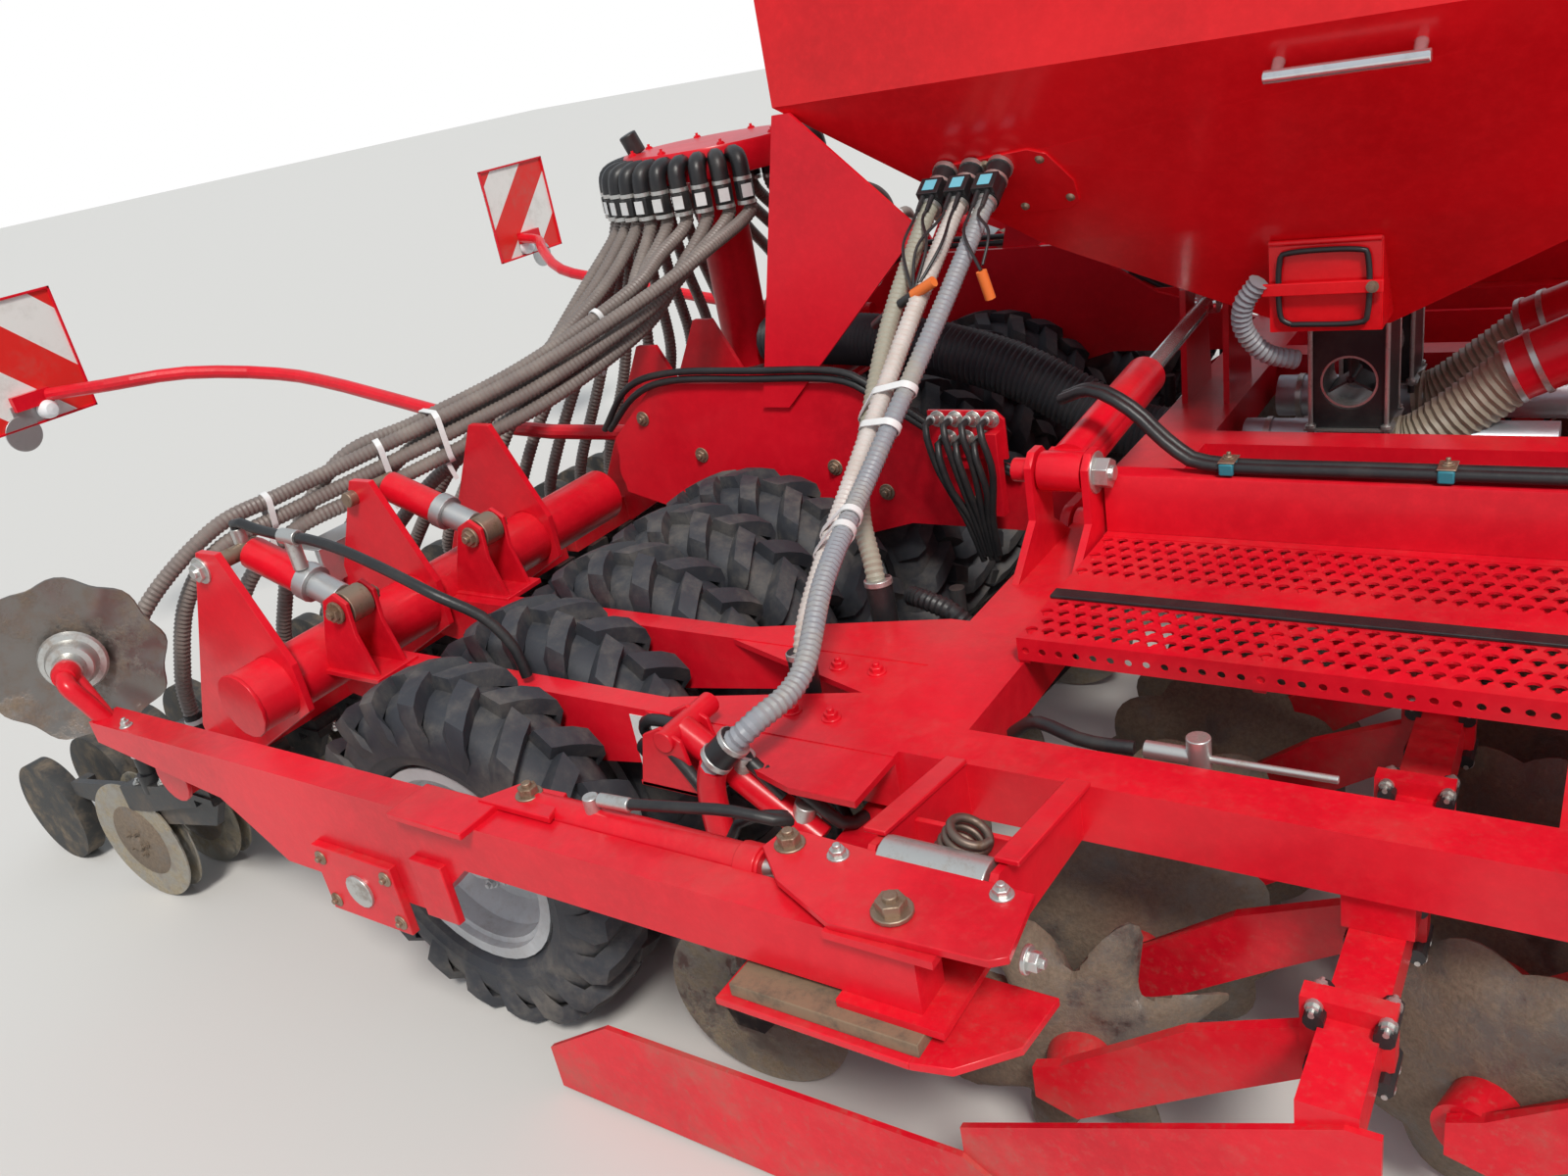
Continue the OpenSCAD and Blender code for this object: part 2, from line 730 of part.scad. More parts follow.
module packer_arm(y) {
    plate_xz([[rear_beam_x, beam_low], [rear_beam_x, frame_top], [rear_tube_x, frame_top],
              [rear_tube_x, beam_low], [axle_x - 160, beam_low - 50],
              [axle_x - 60, axle_z - 55], [axle_x + 60, axle_z - 55],
              [axle_x + 160, beam_low - 50], [axle_x + 500, beam_low]],
             [y - arm_w / 2, y + arm_w / 2]);
    translate([0, 0, frame_top - 14])
        linear_extrude(12)
            polygon([[rear_beam_x, y - 150], [rear_beam_x - 120, y - 150],
                     [axle_x + tyre_d / 2 + 10, y - arm_w / 2],
                     [axle_x + tyre_d / 2 + 10, y + arm_w / 2],
                     [rear_beam_x - 120, y + 150], [rear_beam_x, y + 150]]);
}

module hinge_lug(x) {
    half = hinge_barrel_len / 2;
    bar_x(2 * hinge_barrel_r, [x - half, x + half], -hinge_y, hinge_z);
    block([x - half, x + half], [-hinge_y - hinge_reach - 5, -hinge_y],
          [hinge_z - hinge_barrel_r, frame_top]);
}

// The ears that hold the fold cylinder stand on the rear beam
module ram_ear(x) {
    plate_yz([[-ram_wing_y - 160, frame_top - 5], [-ram_wing_y - 45, frame_top + 90],
              [-ram_wing_y - 45, ram_wing_z + 20], [-ram_wing_y - 20, ram_wing_z + 45],
              [-ram_wing_y + 20, ram_wing_z + 45], [-ram_wing_y + 45, ram_wing_z + 20],
              [-ram_wing_y + 45, frame_top + 60], [-hinge_y - hinge_reach, frame_top - 5]],
             [x, x + 15]);
}

module wing_frame() {
    beam_in = -hinge_y - hinge_reach;
    color(paint)
        difference() {
            union() {
                for (x = [rear_beam_x, front_beam_x])
                    block([x - beam_w / 2, x + beam_w / 2], [-frame_half_w, beam_in],
                          [beam_low, frame_top]);
                block([rear_beam_x, beam_front_x], [-frame_half_w, side_beam_w - frame_half_w],
                      [beam_low, frame_top]);
                block([rear_beam_x, beam_front_x],
                      [-rail_y - side_beam_w / 2, -rail_y + side_beam_w / 2 - 5],
                      [beam_low, frame_top]);
                for (x = [rear_beam_x, front_beam_x]) hinge_lug(x);
                for (y = wing_arms) packer_arm(-y);
                for (x = [rear_row_x, front_row_x])
                    for (y = [side_beam_w / 2 - frame_half_w, -rail_y]) hanger(x, [y - 30, y + 30]);
                bar_y(rear_tube_d, rear_tube_x, [-rear_tube_end, -hinge_y - 40], rear_tube_z);
                fert_carrier([-2000, -hinge_y - hinge_reach], [-1700, -1100]);
                ram_ear(rear_beam_x - ram_ear_gap - 15);
                ram_ear(rear_beam_x + ram_ear_gap);
                bar_x(40, [rear_beam_x - ram_ear_gap, rear_beam_x + ram_ear_gap],
                      -ram_wing_y, ram_wing_z);
                for (x = [marker_x - 96, marker_x + 84])
                    plate_yz([[-frame_half_w + 2, beam_low + 5], [-frame_half_w + 2, frame_top],
                              [-tilt_y - 10, frame_top + 40], [-tilt_y - 30, frame_top + 20],
                              [-tilt_y - 30, beam_low + 40], [-tilt_y, beam_low + 25]],
                             [x, x + marker_plate_t]);
                bar_x(36, [marker_x - 96, marker_x + 96], -tilt_y, frame_top + 10);
            }
            for (x = [rear_beam_x, front_beam_x])
                bar_x(hinge_pin_d + 2 * pin_run, [x - beam_w, x + beam_w], -hinge_y, hinge_z);
            for (y = wing_arms)
                axle_bore([-y - arm_w, -y + arm_w]);
        }
}

module grating() {
    color(paint) {
        block([rear_beam_x + 72, beam_front_x], [-grate_out, -grate_in], [grate_z - 6, grate_z]);
        block([rear_beam_x + 72, beam_front_x], [-grate_out, -grate_out + 6],
              [grate_z - 40, grate_z]);
        for (x = [rear_beam_x + 72, 200, front_beam_x - 20, beam_front_x - 30])
            block([x, x + 20], [-grate_out, -rail_y - side_beam_w / 2 + 10],
                  [frame_top + run, grate_z - 4]);
        block([rear_beam_x + 72, beam_front_x], [-rail_y - 36, -rail_y - 28],
              [frame_top + run, rail_top]);
        block([rear_beam_x + 72, beam_front_x], [-rail_y - 36, -rail_y + 10],
              [rail_top - 8, rail_top]);
        block([rear_beam_x + 72, beam_front_x], [-grate_in - 4, -rail_y - 28],
              [grate_z - 6, grate_z]);
    }
}

// Fold cylinder, drawn along x from its pin and turned into place

module ram_place() {
    translate([rear_beam_x, -ram_wing_y, ram_wing_z])
        rotate([ram_tilt, 0, 0])
            rotate([0, 0, 90])
                children();
}

module fold_barrel() {
    r = ram_barrel_d / 2;
    color(paint)
        ram_place()
            difference() {
                union() {
                    bar_x(ram_barrel_d, [30, ram_barrel_len], 0, 0);
                    bar_y(80, 0, [-ram_ear_gap + 6, ram_ear_gap - 6], 0);
                    block([0, 40], [-ram_ear_gap + 12, ram_ear_gap - 12], [-34, 34]);
                }
                bar_y(40 + 2 * pin_run, 0, [-ram_ear_gap, ram_ear_gap], 0);
                bar_x(ram_barrel_d - 16, [50, ram_barrel_len - 30], 0, 0);
                bar_x(ram_rod_d + 2 * pin_run, [50, ram_barrel_len + 1], 0, 0);
            }
}

module fold_rod() {
    color(steel)
        ram_place()
            union() {
                bar_x(ram_rod_d, [ram_barrel_len - ram_hold, ram_len - 20], 0, 0);
                bar_y(60, ram_len, [-26, 26], 0);
            }
}

// Marker

module marker_head() {
    out = -marker_y - 50;
    low = marker_top - 8 - marker_h - marker_plate_t - run;
    color(paint)
        difference() {
            union() {
                bar_x(66, [marker_x - 78, marker_x + 78], -tilt_y, frame_top + 10);
                block([marker_x - 78, marker_x + 78], [-tilt_y - 44, -tilt_y - 20],
                      [low, frame_top + 20]);
                for (z = [low, marker_top - 8 + run])
                    block([marker_x - 78, marker_x + 78], [out, -tilt_y - 20],
                          [z, z + marker_plate_t]);
                bar_z(30, marker_x, -marker_y, [low, marker_top + 20]);
            }
            bar_x(36 + 2 * pin_run, [marker_x - 100, marker_x + 100], -tilt_y, frame_top + 10);
        }
}

module marker_disc_place() {
    translate([marker_x - marker_len - 90, -marker_y + 20, 800])
        rotate([0, 0, 50])
            children();
}

module marker_arm() {
    top = marker_top - 8;
    low = top - marker_h;
    rear = marker_x - marker_len;
    color(paint)
        difference() {
            union() {
                plate_xz([[marker_x + 40, low], [marker_x + 40, top], [rear, top - 10],
                          [rear, top - 60], [-1560, low - 10], [-1400, low - 120],
                          [-1000, low - 120], [-860, low]],
                         [-marker_y - marker_w / 2, -marker_y + marker_w / 2]);
                rod_between(40, [rear + 20, -marker_y, top - 35],
                            [rear - 60, -marker_y - 6, 800]);
                marker_disc_place() bar_y(30, 0, [-44, 46], 0);
            }
            bar_z(30 + 2 * pin_run, marker_x, -marker_y, [low - 10, top + 10]);
        }
}

module marker_disc() {
    color(steel)
        marker_disc_place()
            difference() {
                union() {
                    bar_y(marker_disc_d, 0, [22, 27], 0);
                    bar_y(100, 0, [-10, 40], 0);
                }
                bar_y(30 + 2 * pin_run, 0, [-11, 41], 0);
            }
}

// Centre frame

module hinge_ears(x) {
    far = hinge_barrel_len / 2 + 7;
    for (s = [0, 1])
        mirror([0, s, 0]) {
            for (x0 = [x - far - hinge_ear_t, x + far]) {
                bar_x(2 * hinge_ear_r, [x0, x0 + hinge_ear_t], -hinge_y, hinge_z);
                block([x0, x0 + hinge_ear_t], [-hinge_y, -hinge_y + hinge_reach + 20],
                      [hinge_z - hinge_ear_r, hinge_z + hinge_ear_r]);
            }
            bar_x(hinge_pin_d, [x - far - hinge_ear_t - 5, x + far + hinge_ear_t + 5],
                  -hinge_y, hinge_z);
        }
}

module side_plate() {
    plate_xz([[rear_tube_x - 60, rear_tube_z - 60], [rear_tube_x - 60, rear_tube_z + 100],
              [-1560, 940], [-1480, 960], [-940, 960], [-860, 930], [-640, 790],
              [rear_beam_x - beam_w / 2, frame_top], [beam_front_x, frame_top],
              [beam_front_x, beam_low], [-800, beam_low], [axle_x + 160, beam_low - 60],
              [axle_x + 60, axle_z - 60], [axle_x - 60, axle_z - 60],
              [axle_x - 160, beam_low - 60]],
             [-plate_y, -plate_y + plate_t]);
}

// Triangular legs that carry the hopper on the side plates
module hopper_leg() {
    plate_xz([[hopper_rear_x - 5, leg_top], [hopper_rear_x + 40, leg_top], [-674, 1310],
              [-1100, 900], [-1180, 900]],
             [-hopper_half_w, -hopper_half_w + leg_t]);
}

// Height of the hopper's front slope above a place on the frame, less a clearance
function front_slope_z(x) =
    funnel_top_z - 2 * run
    + (x - funnel_front_x) * (hopper_fold_z - funnel_top_z) / (hopper_front_x - funnel_front_x);

module centre_frame() {
    post_x = beam_front_x - 80;
    color(paint)
        difference() {
            union() {
                for (x = [rear_beam_x, front_beam_x]) {
                    block([x - beam_w / 2, x + beam_w / 2],
                          [-hinge_y + hinge_reach, hinge_y - hinge_reach],
                          [beam_low, frame_top]);
                    hinge_ears(x);
                }
                for (s = [0, 1])
                    mirror([0, s, 0]) {
                        side_plate();
                        hopper_leg();
                        for (x = [rear_row_x, front_row_x])
                            hanger(x, [-plate_y, -plate_y + plate_t - 2]);
                        block([rear_beam_x, beam_front_x], [-400, -310], [beam_low, frame_top]);
                    }
                bar_y(rear_tube_d, rear_tube_x, [-plate_y, plate_y], rear_tube_z);
                block([beam_front_x - 100, beam_front_x], [-plate_y, plate_y],
                      [beam_low, frame_top]);
                fert_carrier([-hinge_y + 100, hinge_y - 100], [-400, 400]);
                block([tower_x - riser_d / 2, rear_tube_x + 40], [-riser_d / 2, riser_d / 2],
                      [rear_tube_z + rear_tube_d / 2 - 4,
                       rear_tube_z + rear_tube_d / 2 - 4 + base_t]);
                for (x = [rear_beam_x - 60, rear_beam_x + 45])
                    plate_yz([[-110, frame_top - 5], [-90, ram_eye_z + 40], [90, ram_eye_z + 40],
                              [110, frame_top - 5]], [x, x + 15]);
                for (y = [-600, 590])
                    plate_xz([[post_x, frame_top - 5], [post_x + 40, frame_top - 5],
                              [post_x + 40, front_slope_z(post_x + 40)],
                              [post_x, front_slope_z(post_x)]], [y, y + 10]);
            }
            axle_bore([-plate_y - 5, plate_y + 5]);
        }
}

// Hopper

function frustum_rect(x0, x1, half, z) =
    [[x0, -half, z], [x1, -half, z], [x1, half, z], [x0, half, z]];

module frustum(low, high) {
    polyhedron(points = concat(low, high),
               faces = [[0, 1, 2, 3], [7, 6, 5, 4], [0, 4, 5, 1], [1, 5, 6, 2],
                        [2, 6, 7, 3], [3, 7, 4, 0]]);
}

// One inset gives the inner skin
module hopper_form(t) {
    frustum(frustum_rect(funnel_rear_x + t, funnel_front_x - t, funnel_half_w - t, funnel_top_z),
            frustum_rect(hopper_rear_x + t, hopper_front_x - t, hopper_half_w - t,
                         hopper_fold_z));
    frustum(frustum_rect(outlet_rear_x + t, outlet_front_x - t, outlet_half_w - t,
                         funnel_low_z + t),
            frustum_rect(funnel_rear_x + t, funnel_front_x - t, funnel_half_w - t,
                         funnel_top_z));
    block([hopper_rear_x + t, hopper_front_x - t], [t - hopper_half_w, hopper_half_w - t],
          [hopper_fold_z, hopper_top_z - t]);
}

// A place on a tap of the hopper's slope, so far out of the slope
function tap(x, out) =
    [x, -funnel_half_w, funnel_top_z]
    + tap_low * [0, -hopper_rise[1], hopper_rise[2]] / hopper_rise[2]
    + out * [0, -hopper_out[1], hopper_out[2]];

module hopper() {
    color(paint)
        difference() {
            union() {
                hopper_form(0);
                block([-10, 210], [-door_y, -outlet_half_w], [funnel_low_z + 30, door_top_z + 2]);
                for (s = [0, 1])
                    mirror([0, s, 0])
                        for (way = fert_ways)
                            rod_between(tap_d, tap(way[0], -2), tap(way[0], tap_len));
            }
            hopper_form(hopper_t);
            block([0, 200], [-door_y - 1, -outlet_half_w + 60], [funnel_low_z + 40, door_top_z - 8]);
            for (y = meter_rows)
                block([meter_x - 60, meter_x + 60], [y - 50, y + 50],
                      [funnel_low_z - 1, funnel_low_z + 2 * hopper_t]);
            block([hopper_rear_x + 160, hopper_front_x - 160], [-fill_half_w, fill_half_w],
                  [hopper_top_z - 2 * hopper_t, hopper_top_z + 1]);
        }
}

// The lid's hinge tube lies on its left edge, high enough to let the edge turn
module hopper_lid() {
    edge = 20;
    low = hopper_top_z + run;
    color(paint) {
        block([hopper_rear_x + 160 - edge, hopper_front_x - 160 + edge],
              [-fill_half_w - edge, fill_half_w + edge], [low, low + lid_t]);
        bar_x(2 * lid_hinge_r, [hopper_rear_x + 200, hopper_front_x - 200],
              fill_half_w + edge + 2, low + 10);
    }
}

module access_door() {
    color(paint) {
        block([-8, 208], [-door_y - run - 8, -door_y - run], [funnel_low_z + 32, door_top_z]);
        bar_x(2 * hinge_r, [-8, 208], -door_y - run - hinge_r, door_top_z);
    }
}

// Seed metering and air

module metering() {
    color(black)
        for (y = meter_rows)
            difference() {
                block([meter_x - meter_w / 2, meter_x + meter_w / 2], [y - 70, y + 70],
                      [meter_low_z, funnel_low_z - run]);
                bar_y(meter_hole_d, meter_x, [y - 71, y + 71], 790);
            }
}

module air_duct() {
    z = meter_low_z - venturi_d / 2 - 5;
    color(steel)
        for (y = meter_rows) {
            bar_x(venturi_d, [-150, 520], y, z);
            block([meter_x - 60, meter_x + 60], [y - 45, y + 45], [z + 20, meter_low_z - run]);
        }
}

module fan_housing() {
    color(paint)
        difference() {
            union() {
                bar_y(2 * fan_r, fan_x, [-fan_w / 2, fan_w / 2], fan_z);
                block([fan_x - 60, fan_x + 60], [-80, 80], [hitch_z + 120 + run, fan_z - fan_r + 20]);
            }
            bar_y(2 * fan_r - 12, fan_x, [-fan_w / 2 + 6, fan_w / 2 - 6], fan_z);
            bar_y(320, fan_x, [-fan_w / 2 - 1, 0], fan_z);
            bar_y(30 + 2 * pin_run, fan_x, [0, fan_w / 2 + 1], fan_z);
        }
}

module fan_rotor() {
    color(black) {
        bar_y(60, fan_x, [-fan_w / 2 + 20, fan_w / 2 - 12], fan_z);
        bar_y(30, fan_x, [0, fan_w / 2 + 20], fan_z);
        for (a = [0:30:330])
            translate([fan_x, 0, fan_z])
                rotate([0, a, 0])
                    block([25, fan_r - 40], [-70, 80], [-3, 3]);
    }
}

function outlet(angle) =
    [tower_x + outlet_r * cos(angle), -outlet_r * sin(angle), outlet_z];

module distributor() {
    color(paint) {
        bar_z(riser_d, tower_x, 0, [rear_tube_z + rear_tube_d / 2 + base_t - 4 + run, tower_z]);
        bar_z(2 * tower_r, tower_x, 0, [tower_z - tower_t / 2, tower_z + tower_t / 2]);
        for (s = [0, 1])
            mirror([0, s, 0])
                for (a = concat(wing_outlets, centre_outlets)) {
                    translate(outlet(a))
                        cylinder(d = outlet_d, h = tower_z - outlet_z + outlet_d / 2);
                    translate([tower_x, 0, tower_z])
                        rotate([0, 90, -a])
                            translate([0, 0, tower_r - 5])
                                cylinder(d = outlet_d - 6, h = outlet_r - tower_r + 5);
                }
    }
}

// Each hose leaves its outlet straight down and enters its coulter straight down

function seed_way(angle, middle, y) =
    concat([outlet(angle), outlet(angle) - [0, 0, hose_drop]], middle,
           [[seed_inlet_x + 40, y, seed_inlet_z + 170], [seed_inlet_x, y, seed_inlet_z + hose_drop],
            [seed_inlet_x, y, seed_inlet_z]]);

function bundle_way(column, row, y) =
    let (way = [for (w = bundle_ways)
                    if (w[0] < -y - 100)
                        [w[1] - w[2] * (2 - column) + w[3] * (row - 1), -w[0], w[4] + w[5] * row]],
         far = way[len(way) - 1])
    concat(way, [[(far[0] + seed_inlet_x + 40) / 2, 0.3 * far[1] + 0.7 * y,
                  (far[2] + seed_inlet_z + 190) / 2 + 25]]);

module wing_seed_hoses() {
    color(black)
        for (j = [0:8])
            let (y = -wing_coulters[j])
            tube(seed_way(wing_outlets[j],
                          j < 3 ? near_ways[j] : bundle_way(floor(j / 3), j % 3, y), y), hose_d);
}

module centre_seed_hoses() {
    color(black)
        for (s = [0, 1])
            mirror([0, s, 0])
                for (j = [0:4])
                    let (from = outlet(centre_outlets[j]),
                         y = centre_coulters[j],
                         aside = y - from[1])
                    tube(seed_way(centre_outlets[j],
                                  [[from[0] - 30, from[1] + 0.25 * aside, 1100],
                                   [6 * j - 2150, from[1] + 0.75 * aside, 830]], y), hose_d);
}

module wing_coulter_hoses() {
    color(black)
        for (j = [0:2])
            let (way = fert_ways[j], y = -wing_fert[3 - j])
            tube(concat([tap(way[0], tap_len + run), tap(way[0], 2 * tap_len)], way[1],
                        [[fert_inlet_x, y, fert_inlet_z + hose_drop],
                         [fert_inlet_x, y, fert_inlet_z]]), hose_d);
}

module light_arms() {
    color(paint)
        for (s = [0, 1])
            mirror([0, s, 0]) {
                tube(light_way, arm_tube_d, 3, 12);
                block([board_x + 5 + run, board_x + 30], [-board_y - 60, -board_y + 70],
                      [1050, 1100]);
            }
}

module warning_boards() {
    color("white")
        for (y = [-board_y, board_y])
            block([board_x, board_x + 5], [y - board / 2, y + board / 2],
                  [board_z - board / 2, board_z + board / 2]);
}

// Drawbar, hitch and jack

module drawbar() {
    rear = beam_front_x + run;
    color(paint)
        difference() {
            union() {
                block([rear, hitch_swivel_x - 110], [-80, 80], [hitch_z - 80, hitch_z + 120]);
                block([rear, rear + 20], [-200, 200], [beam_low, frame_top]);
                block([jack_x - 45, jack_x + 45], [-jack_y - 55, -jack_y + 55], [300, 950]);
                for (z = [hitch_z - 60, hitch_z + 36])
                    block([hitch_swivel_x - 150, hitch_swivel_x + 60], [-70, 70], [z, z + 24]);
                bar_z(50, hitch_swivel_x, 0, [hitch_z - 80, hitch_z + 80]);
            }
            bar_z(60 + 2 * run, jack_x, -jack_y, [299, 930]);
        }
}

module hitch_bar() {
    half = hitch_span / 2;
    color(paint)
        difference() {
            union() {
                block([front_x - 140, front_x], [-half, half], [hitch_z - 50, hitch_z + 50]);
                block([hitch_swivel_x, front_x - 100], [-55, 55], [hitch_z - 35, hitch_z + 35]);
                bar_z(110, hitch_swivel_x, 0, [hitch_z - 35, hitch_z + 35]);
                bar_y(hitch_pin_d, front_x - 60, [-half - 120, half + 120], hitch_z);
            }
            bar_z(50 + 2 * pin_run, hitch_swivel_x, 0, [hitch_z - 36, hitch_z + 36]);
        }
}

module jack_leg() {
    color(steel) {
        bar_z(60, jack_x, -jack_y, [6, 620]);
        bar_z(jack_foot_d, jack_x, -jack_y, [0, 12]);
    }
}

centre_frame();
drawbar();
hopper();
hopper_lid();
access_door();
metering();
air_duct();
fan_housing();
fan_rotor();
distributor();
disc_arms_centre();
discs(centre_rear_discs, centre_front_discs);  // discs_centre
tyres_centre();
rims_centre();
coulter_arms(centre_coulters, centre_fert);  // coulter_arms_centre
coulter_discs(centre_coulters, centre_fert);  // coulter_discs_centre
press_wheels(centre_coulters);  // press_wheels_centre
light_arms();
warning_boards();
hitch_bar();
jack_leg();
coulter_frame([-hinge_y + 100, hinge_y - 100], centre_coulter_plates);  // coulter_frame_centre
wing_coulter_frame();  // coulter_frame_right
left() wing_coulter_frame();  // coulter_frame_left
wing_frame();  // wing_frame_right
left() wing_frame();  // wing_frame_left
grating();  // grating_right
left() grating();  // grating_left
wing_disc_arms();  // disc_arms_right
left() wing_disc_arms();  // disc_arms_left
discs(-wing_rear_discs, -wing_front_discs);  // discs_right
left() discs(-wing_rear_discs, -wing_front_discs);  // discs_left
wing_tyres();  // tyres_right
left() wing_tyres();  // tyres_left
wing_rims();  // rims_right
left() wing_rims();  // rims_left
coulter_arms(-wing_coulters, -wing_fert);  // coulter_arms_right
left() coulter_arms(-wing_coulters, -wing_fert);  // coulter_arms_left
coulter_discs(-wing_coulters, -wing_fert);  // coulter_discs_right
left() coulter_discs(-wing_coulters, -wing_fert);  // coulter_discs_left
press_wheels(-wing_coulters);  // press_wheels_right
left() press_wheels(-wing_coulters);  // press_wheels_left
fold_barrel();  // fold_barrel_right
left() fold_barrel();  // fold_barrel_left
fold_rod();  // fold_rod_right
left() fold_rod();  // fold_rod_left
marker_head();  // marker_head_right
left() marker_head();  // marker_head_left
marker_arm();  // marker_arm_right
left() marker_arm();  // marker_arm_left
marker_disc();  // marker_disc_right
left() marker_disc();  // marker_disc_left
centre_seed_hoses();  // seed_hoses_centre
wing_seed_hoses();  // seed_hoses_right
left() wing_seed_hoses();  // seed_hoses_left
wing_coulter_hoses();  // coulter_hoses_right
left() wing_coulter_hoses();  // coulter_hoses_left
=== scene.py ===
import math
import random

import bmesh
import bpy
from mathutils import Matrix, Vector


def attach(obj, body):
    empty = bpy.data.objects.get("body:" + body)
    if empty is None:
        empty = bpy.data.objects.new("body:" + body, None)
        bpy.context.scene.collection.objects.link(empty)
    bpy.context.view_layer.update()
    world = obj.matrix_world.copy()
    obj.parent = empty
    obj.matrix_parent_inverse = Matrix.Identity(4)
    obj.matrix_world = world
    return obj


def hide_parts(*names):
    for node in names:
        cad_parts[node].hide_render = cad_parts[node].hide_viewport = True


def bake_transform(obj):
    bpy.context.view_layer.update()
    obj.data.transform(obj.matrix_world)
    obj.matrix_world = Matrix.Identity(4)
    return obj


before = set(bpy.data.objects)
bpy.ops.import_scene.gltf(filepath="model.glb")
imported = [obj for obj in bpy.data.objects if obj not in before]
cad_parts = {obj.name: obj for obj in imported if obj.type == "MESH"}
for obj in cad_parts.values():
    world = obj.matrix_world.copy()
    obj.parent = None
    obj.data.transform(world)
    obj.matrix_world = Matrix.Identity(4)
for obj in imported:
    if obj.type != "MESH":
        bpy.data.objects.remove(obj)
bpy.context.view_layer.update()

# Driving sizes of the machine, in metres

SIDES = {"right": -1, "left": 1}
TYRE_R = 0.39
TYRE_BARS = 19
AXLE = Vector((-1.17, 0, TYRE_R))
WING_TYRES = [-1.93, -1.65, -1.37, -1.14, -0.91]
CENTRE_TYRES = [-0.58, -0.345, -0.115, 0.115, 0.345, 0.58]
DISC_R = 0.24
DISC_Z = 0.246
DISC_ANGLE = math.radians(16)
DISC_TRAIL = 0.4
STAR_DISCS_Y = 1.8
REAR_HUB_X = 0.03
FRONT_HUB_X = 0.57
ROW_Z = 0.5
SEED_X = -2.42
SEED_Z = 0.174
SEED_GAP = 0.026
SEED_LEAN = math.radians(4)
COULTER_STEP = 0.15
HOSE_R = 0.0205
HOSE_PITCH = 0.012
TIE_R = 0.023
TIE_WIDE = 0.015
TOWER = Vector((-1.75, 0, 1.46))
OUTLET_R = 0.33
OUTLET_Z = 1.37
WING_OUTLETS = [126 - 10.75 * j for j in range(9)]
CENTRE_OUTLETS = [142 + 8.5 * j for j in range(5)]
METER_ROWS = [-0.15, 0.2]
METER_X = 0.1
METER_Z = 0.79
TAP_Y = -0.5 - 0.196 * 0.245 / 0.385
TAP_Z = 1.411
SLOPE_OUT = Vector((0, -0.844, -0.537))
WALK_X = (-0.188, 1.06)
WALK_TOP = 0.75
WALK_HOLES = 42
BOARD_HALF = 0.2115
BOARD_Y = 1.24
BOARD_Z = 1.2


def by_body(step, centre, wing, shift=0.5):
    """Places across the machine in even steps, a list for each body."""
    rows = {"chassis": [step * (k + shift) for k in range(*centre)]}
    for side, s in SIDES.items():
        rows[f"wing_{side}"] = [s * step * (k + shift) for k in range(*wing)]
    return rows


REAR_DISCS = by_body(0.25, (-3, 3), (3, 8))
FRONT_DISCS = by_body(0.25, (-3, 4), (4, 8), 0)
COULTERS = by_body(COULTER_STEP, (-5, 5), (5, 14))


# Camera, floor and light

def photograph_camera():
    data = bpy.data.cameras.new("camera")
    data.sensor_width = 36
    data.lens = 1262 / 1600 * 36
    cam = bpy.data.objects.new("camera", data)
    right = Vector((0.827, 0.534, -0.176))
    up = Vector((-0.088, 0.432, 0.897))
    back = right.cross(up).normalized()
    up = back.cross(right).normalized()
    turn = Matrix((right.normalized(), up, back)).transposed().to_4x4()
    cam.matrix_world = Matrix.Translation((0.65, -3.2, 1.75)) @ turn
    bpy.context.collection.objects.link(cam)
    bpy.context.scene.camera = cam


def floor_and_light():
    bpy.ops.mesh.primitive_plane_add(size=120)
    floor = bpy.context.object
    floor.name = "floor"
    floor.data.materials.append(plain("floor_grey", (0.62, 0.61, 0.59), 0.85))
    world = bpy.data.worlds.new("sky")
    world.use_nodes = True
    bpy.context.scene.world = world
    tree = world.node_tree
    backdrop = tree.nodes["Background"]
    feed(tree, backdrop, {"Color": (1, 1, 1), "Strength": 1.0})
    light = add_node(tree, "Background", {"Color": (0.86, 0.93, 1.0), "Strength": 0.62})
    path = add_node(tree, "LightPath", {}).outputs
    seen = add_node(tree, "Math", {0: path["Is Camera Ray"], 1: path["Is Transmission Ray"]},
        operation="MAXIMUM")
    mix = add_node(tree, "MixShader", {0: seen.outputs[0], 1: light.outputs[0], 2: backdrop.outputs[0]})
    feed(tree, tree.nodes["World Output"], {0: mix.outputs[0]})
    sun = bpy.data.lights.new("sun", "SUN")
    sun.energy = 2.6
    sun.angle = math.radians(12)
    sun.color = (1.0, 0.96, 0.9)
    lamp = bpy.data.objects.new("sun", sun)
    lamp.rotation_euler = (math.radians(38), math.radians(12), math.radians(28))
    bpy.context.collection.objects.link(lamp)
    bpy.context.scene.view_settings.view_transform = "Standard"


# Finishes

def feed(tree, node, inputs):
    """Gives each input a value, a colour or another node's output."""
    for key, value in inputs.items():
        socket = node.inputs[key]
        if isinstance(value, bpy.types.NodeSocket):
            tree.links.new(value, socket)
        else:
            socket.default_value = (*value, 1) if isinstance(value, tuple) else value


def add_node(tree, kind, inputs, **settings):
    node = tree.nodes.new("ShaderNode" + kind)
    for key, value in settings.items():
        setattr(node, key, value)
    feed(tree, node, inputs)
    return node


def blank(name):
    mat = bpy.data.materials.new(name)
    mat.use_nodes = True
    tree = mat.node_tree
    return mat, tree, tree.nodes["Principled BSDF"]


def plain(name, colour, rough):
    mat, tree, shader = blank(name)
    feed(tree, shader, {"Base Color": colour, "Roughness": rough, "Metallic": 0.0})
    return mat


def where(tree):
    return add_node(tree, "TexCoord", {}).outputs


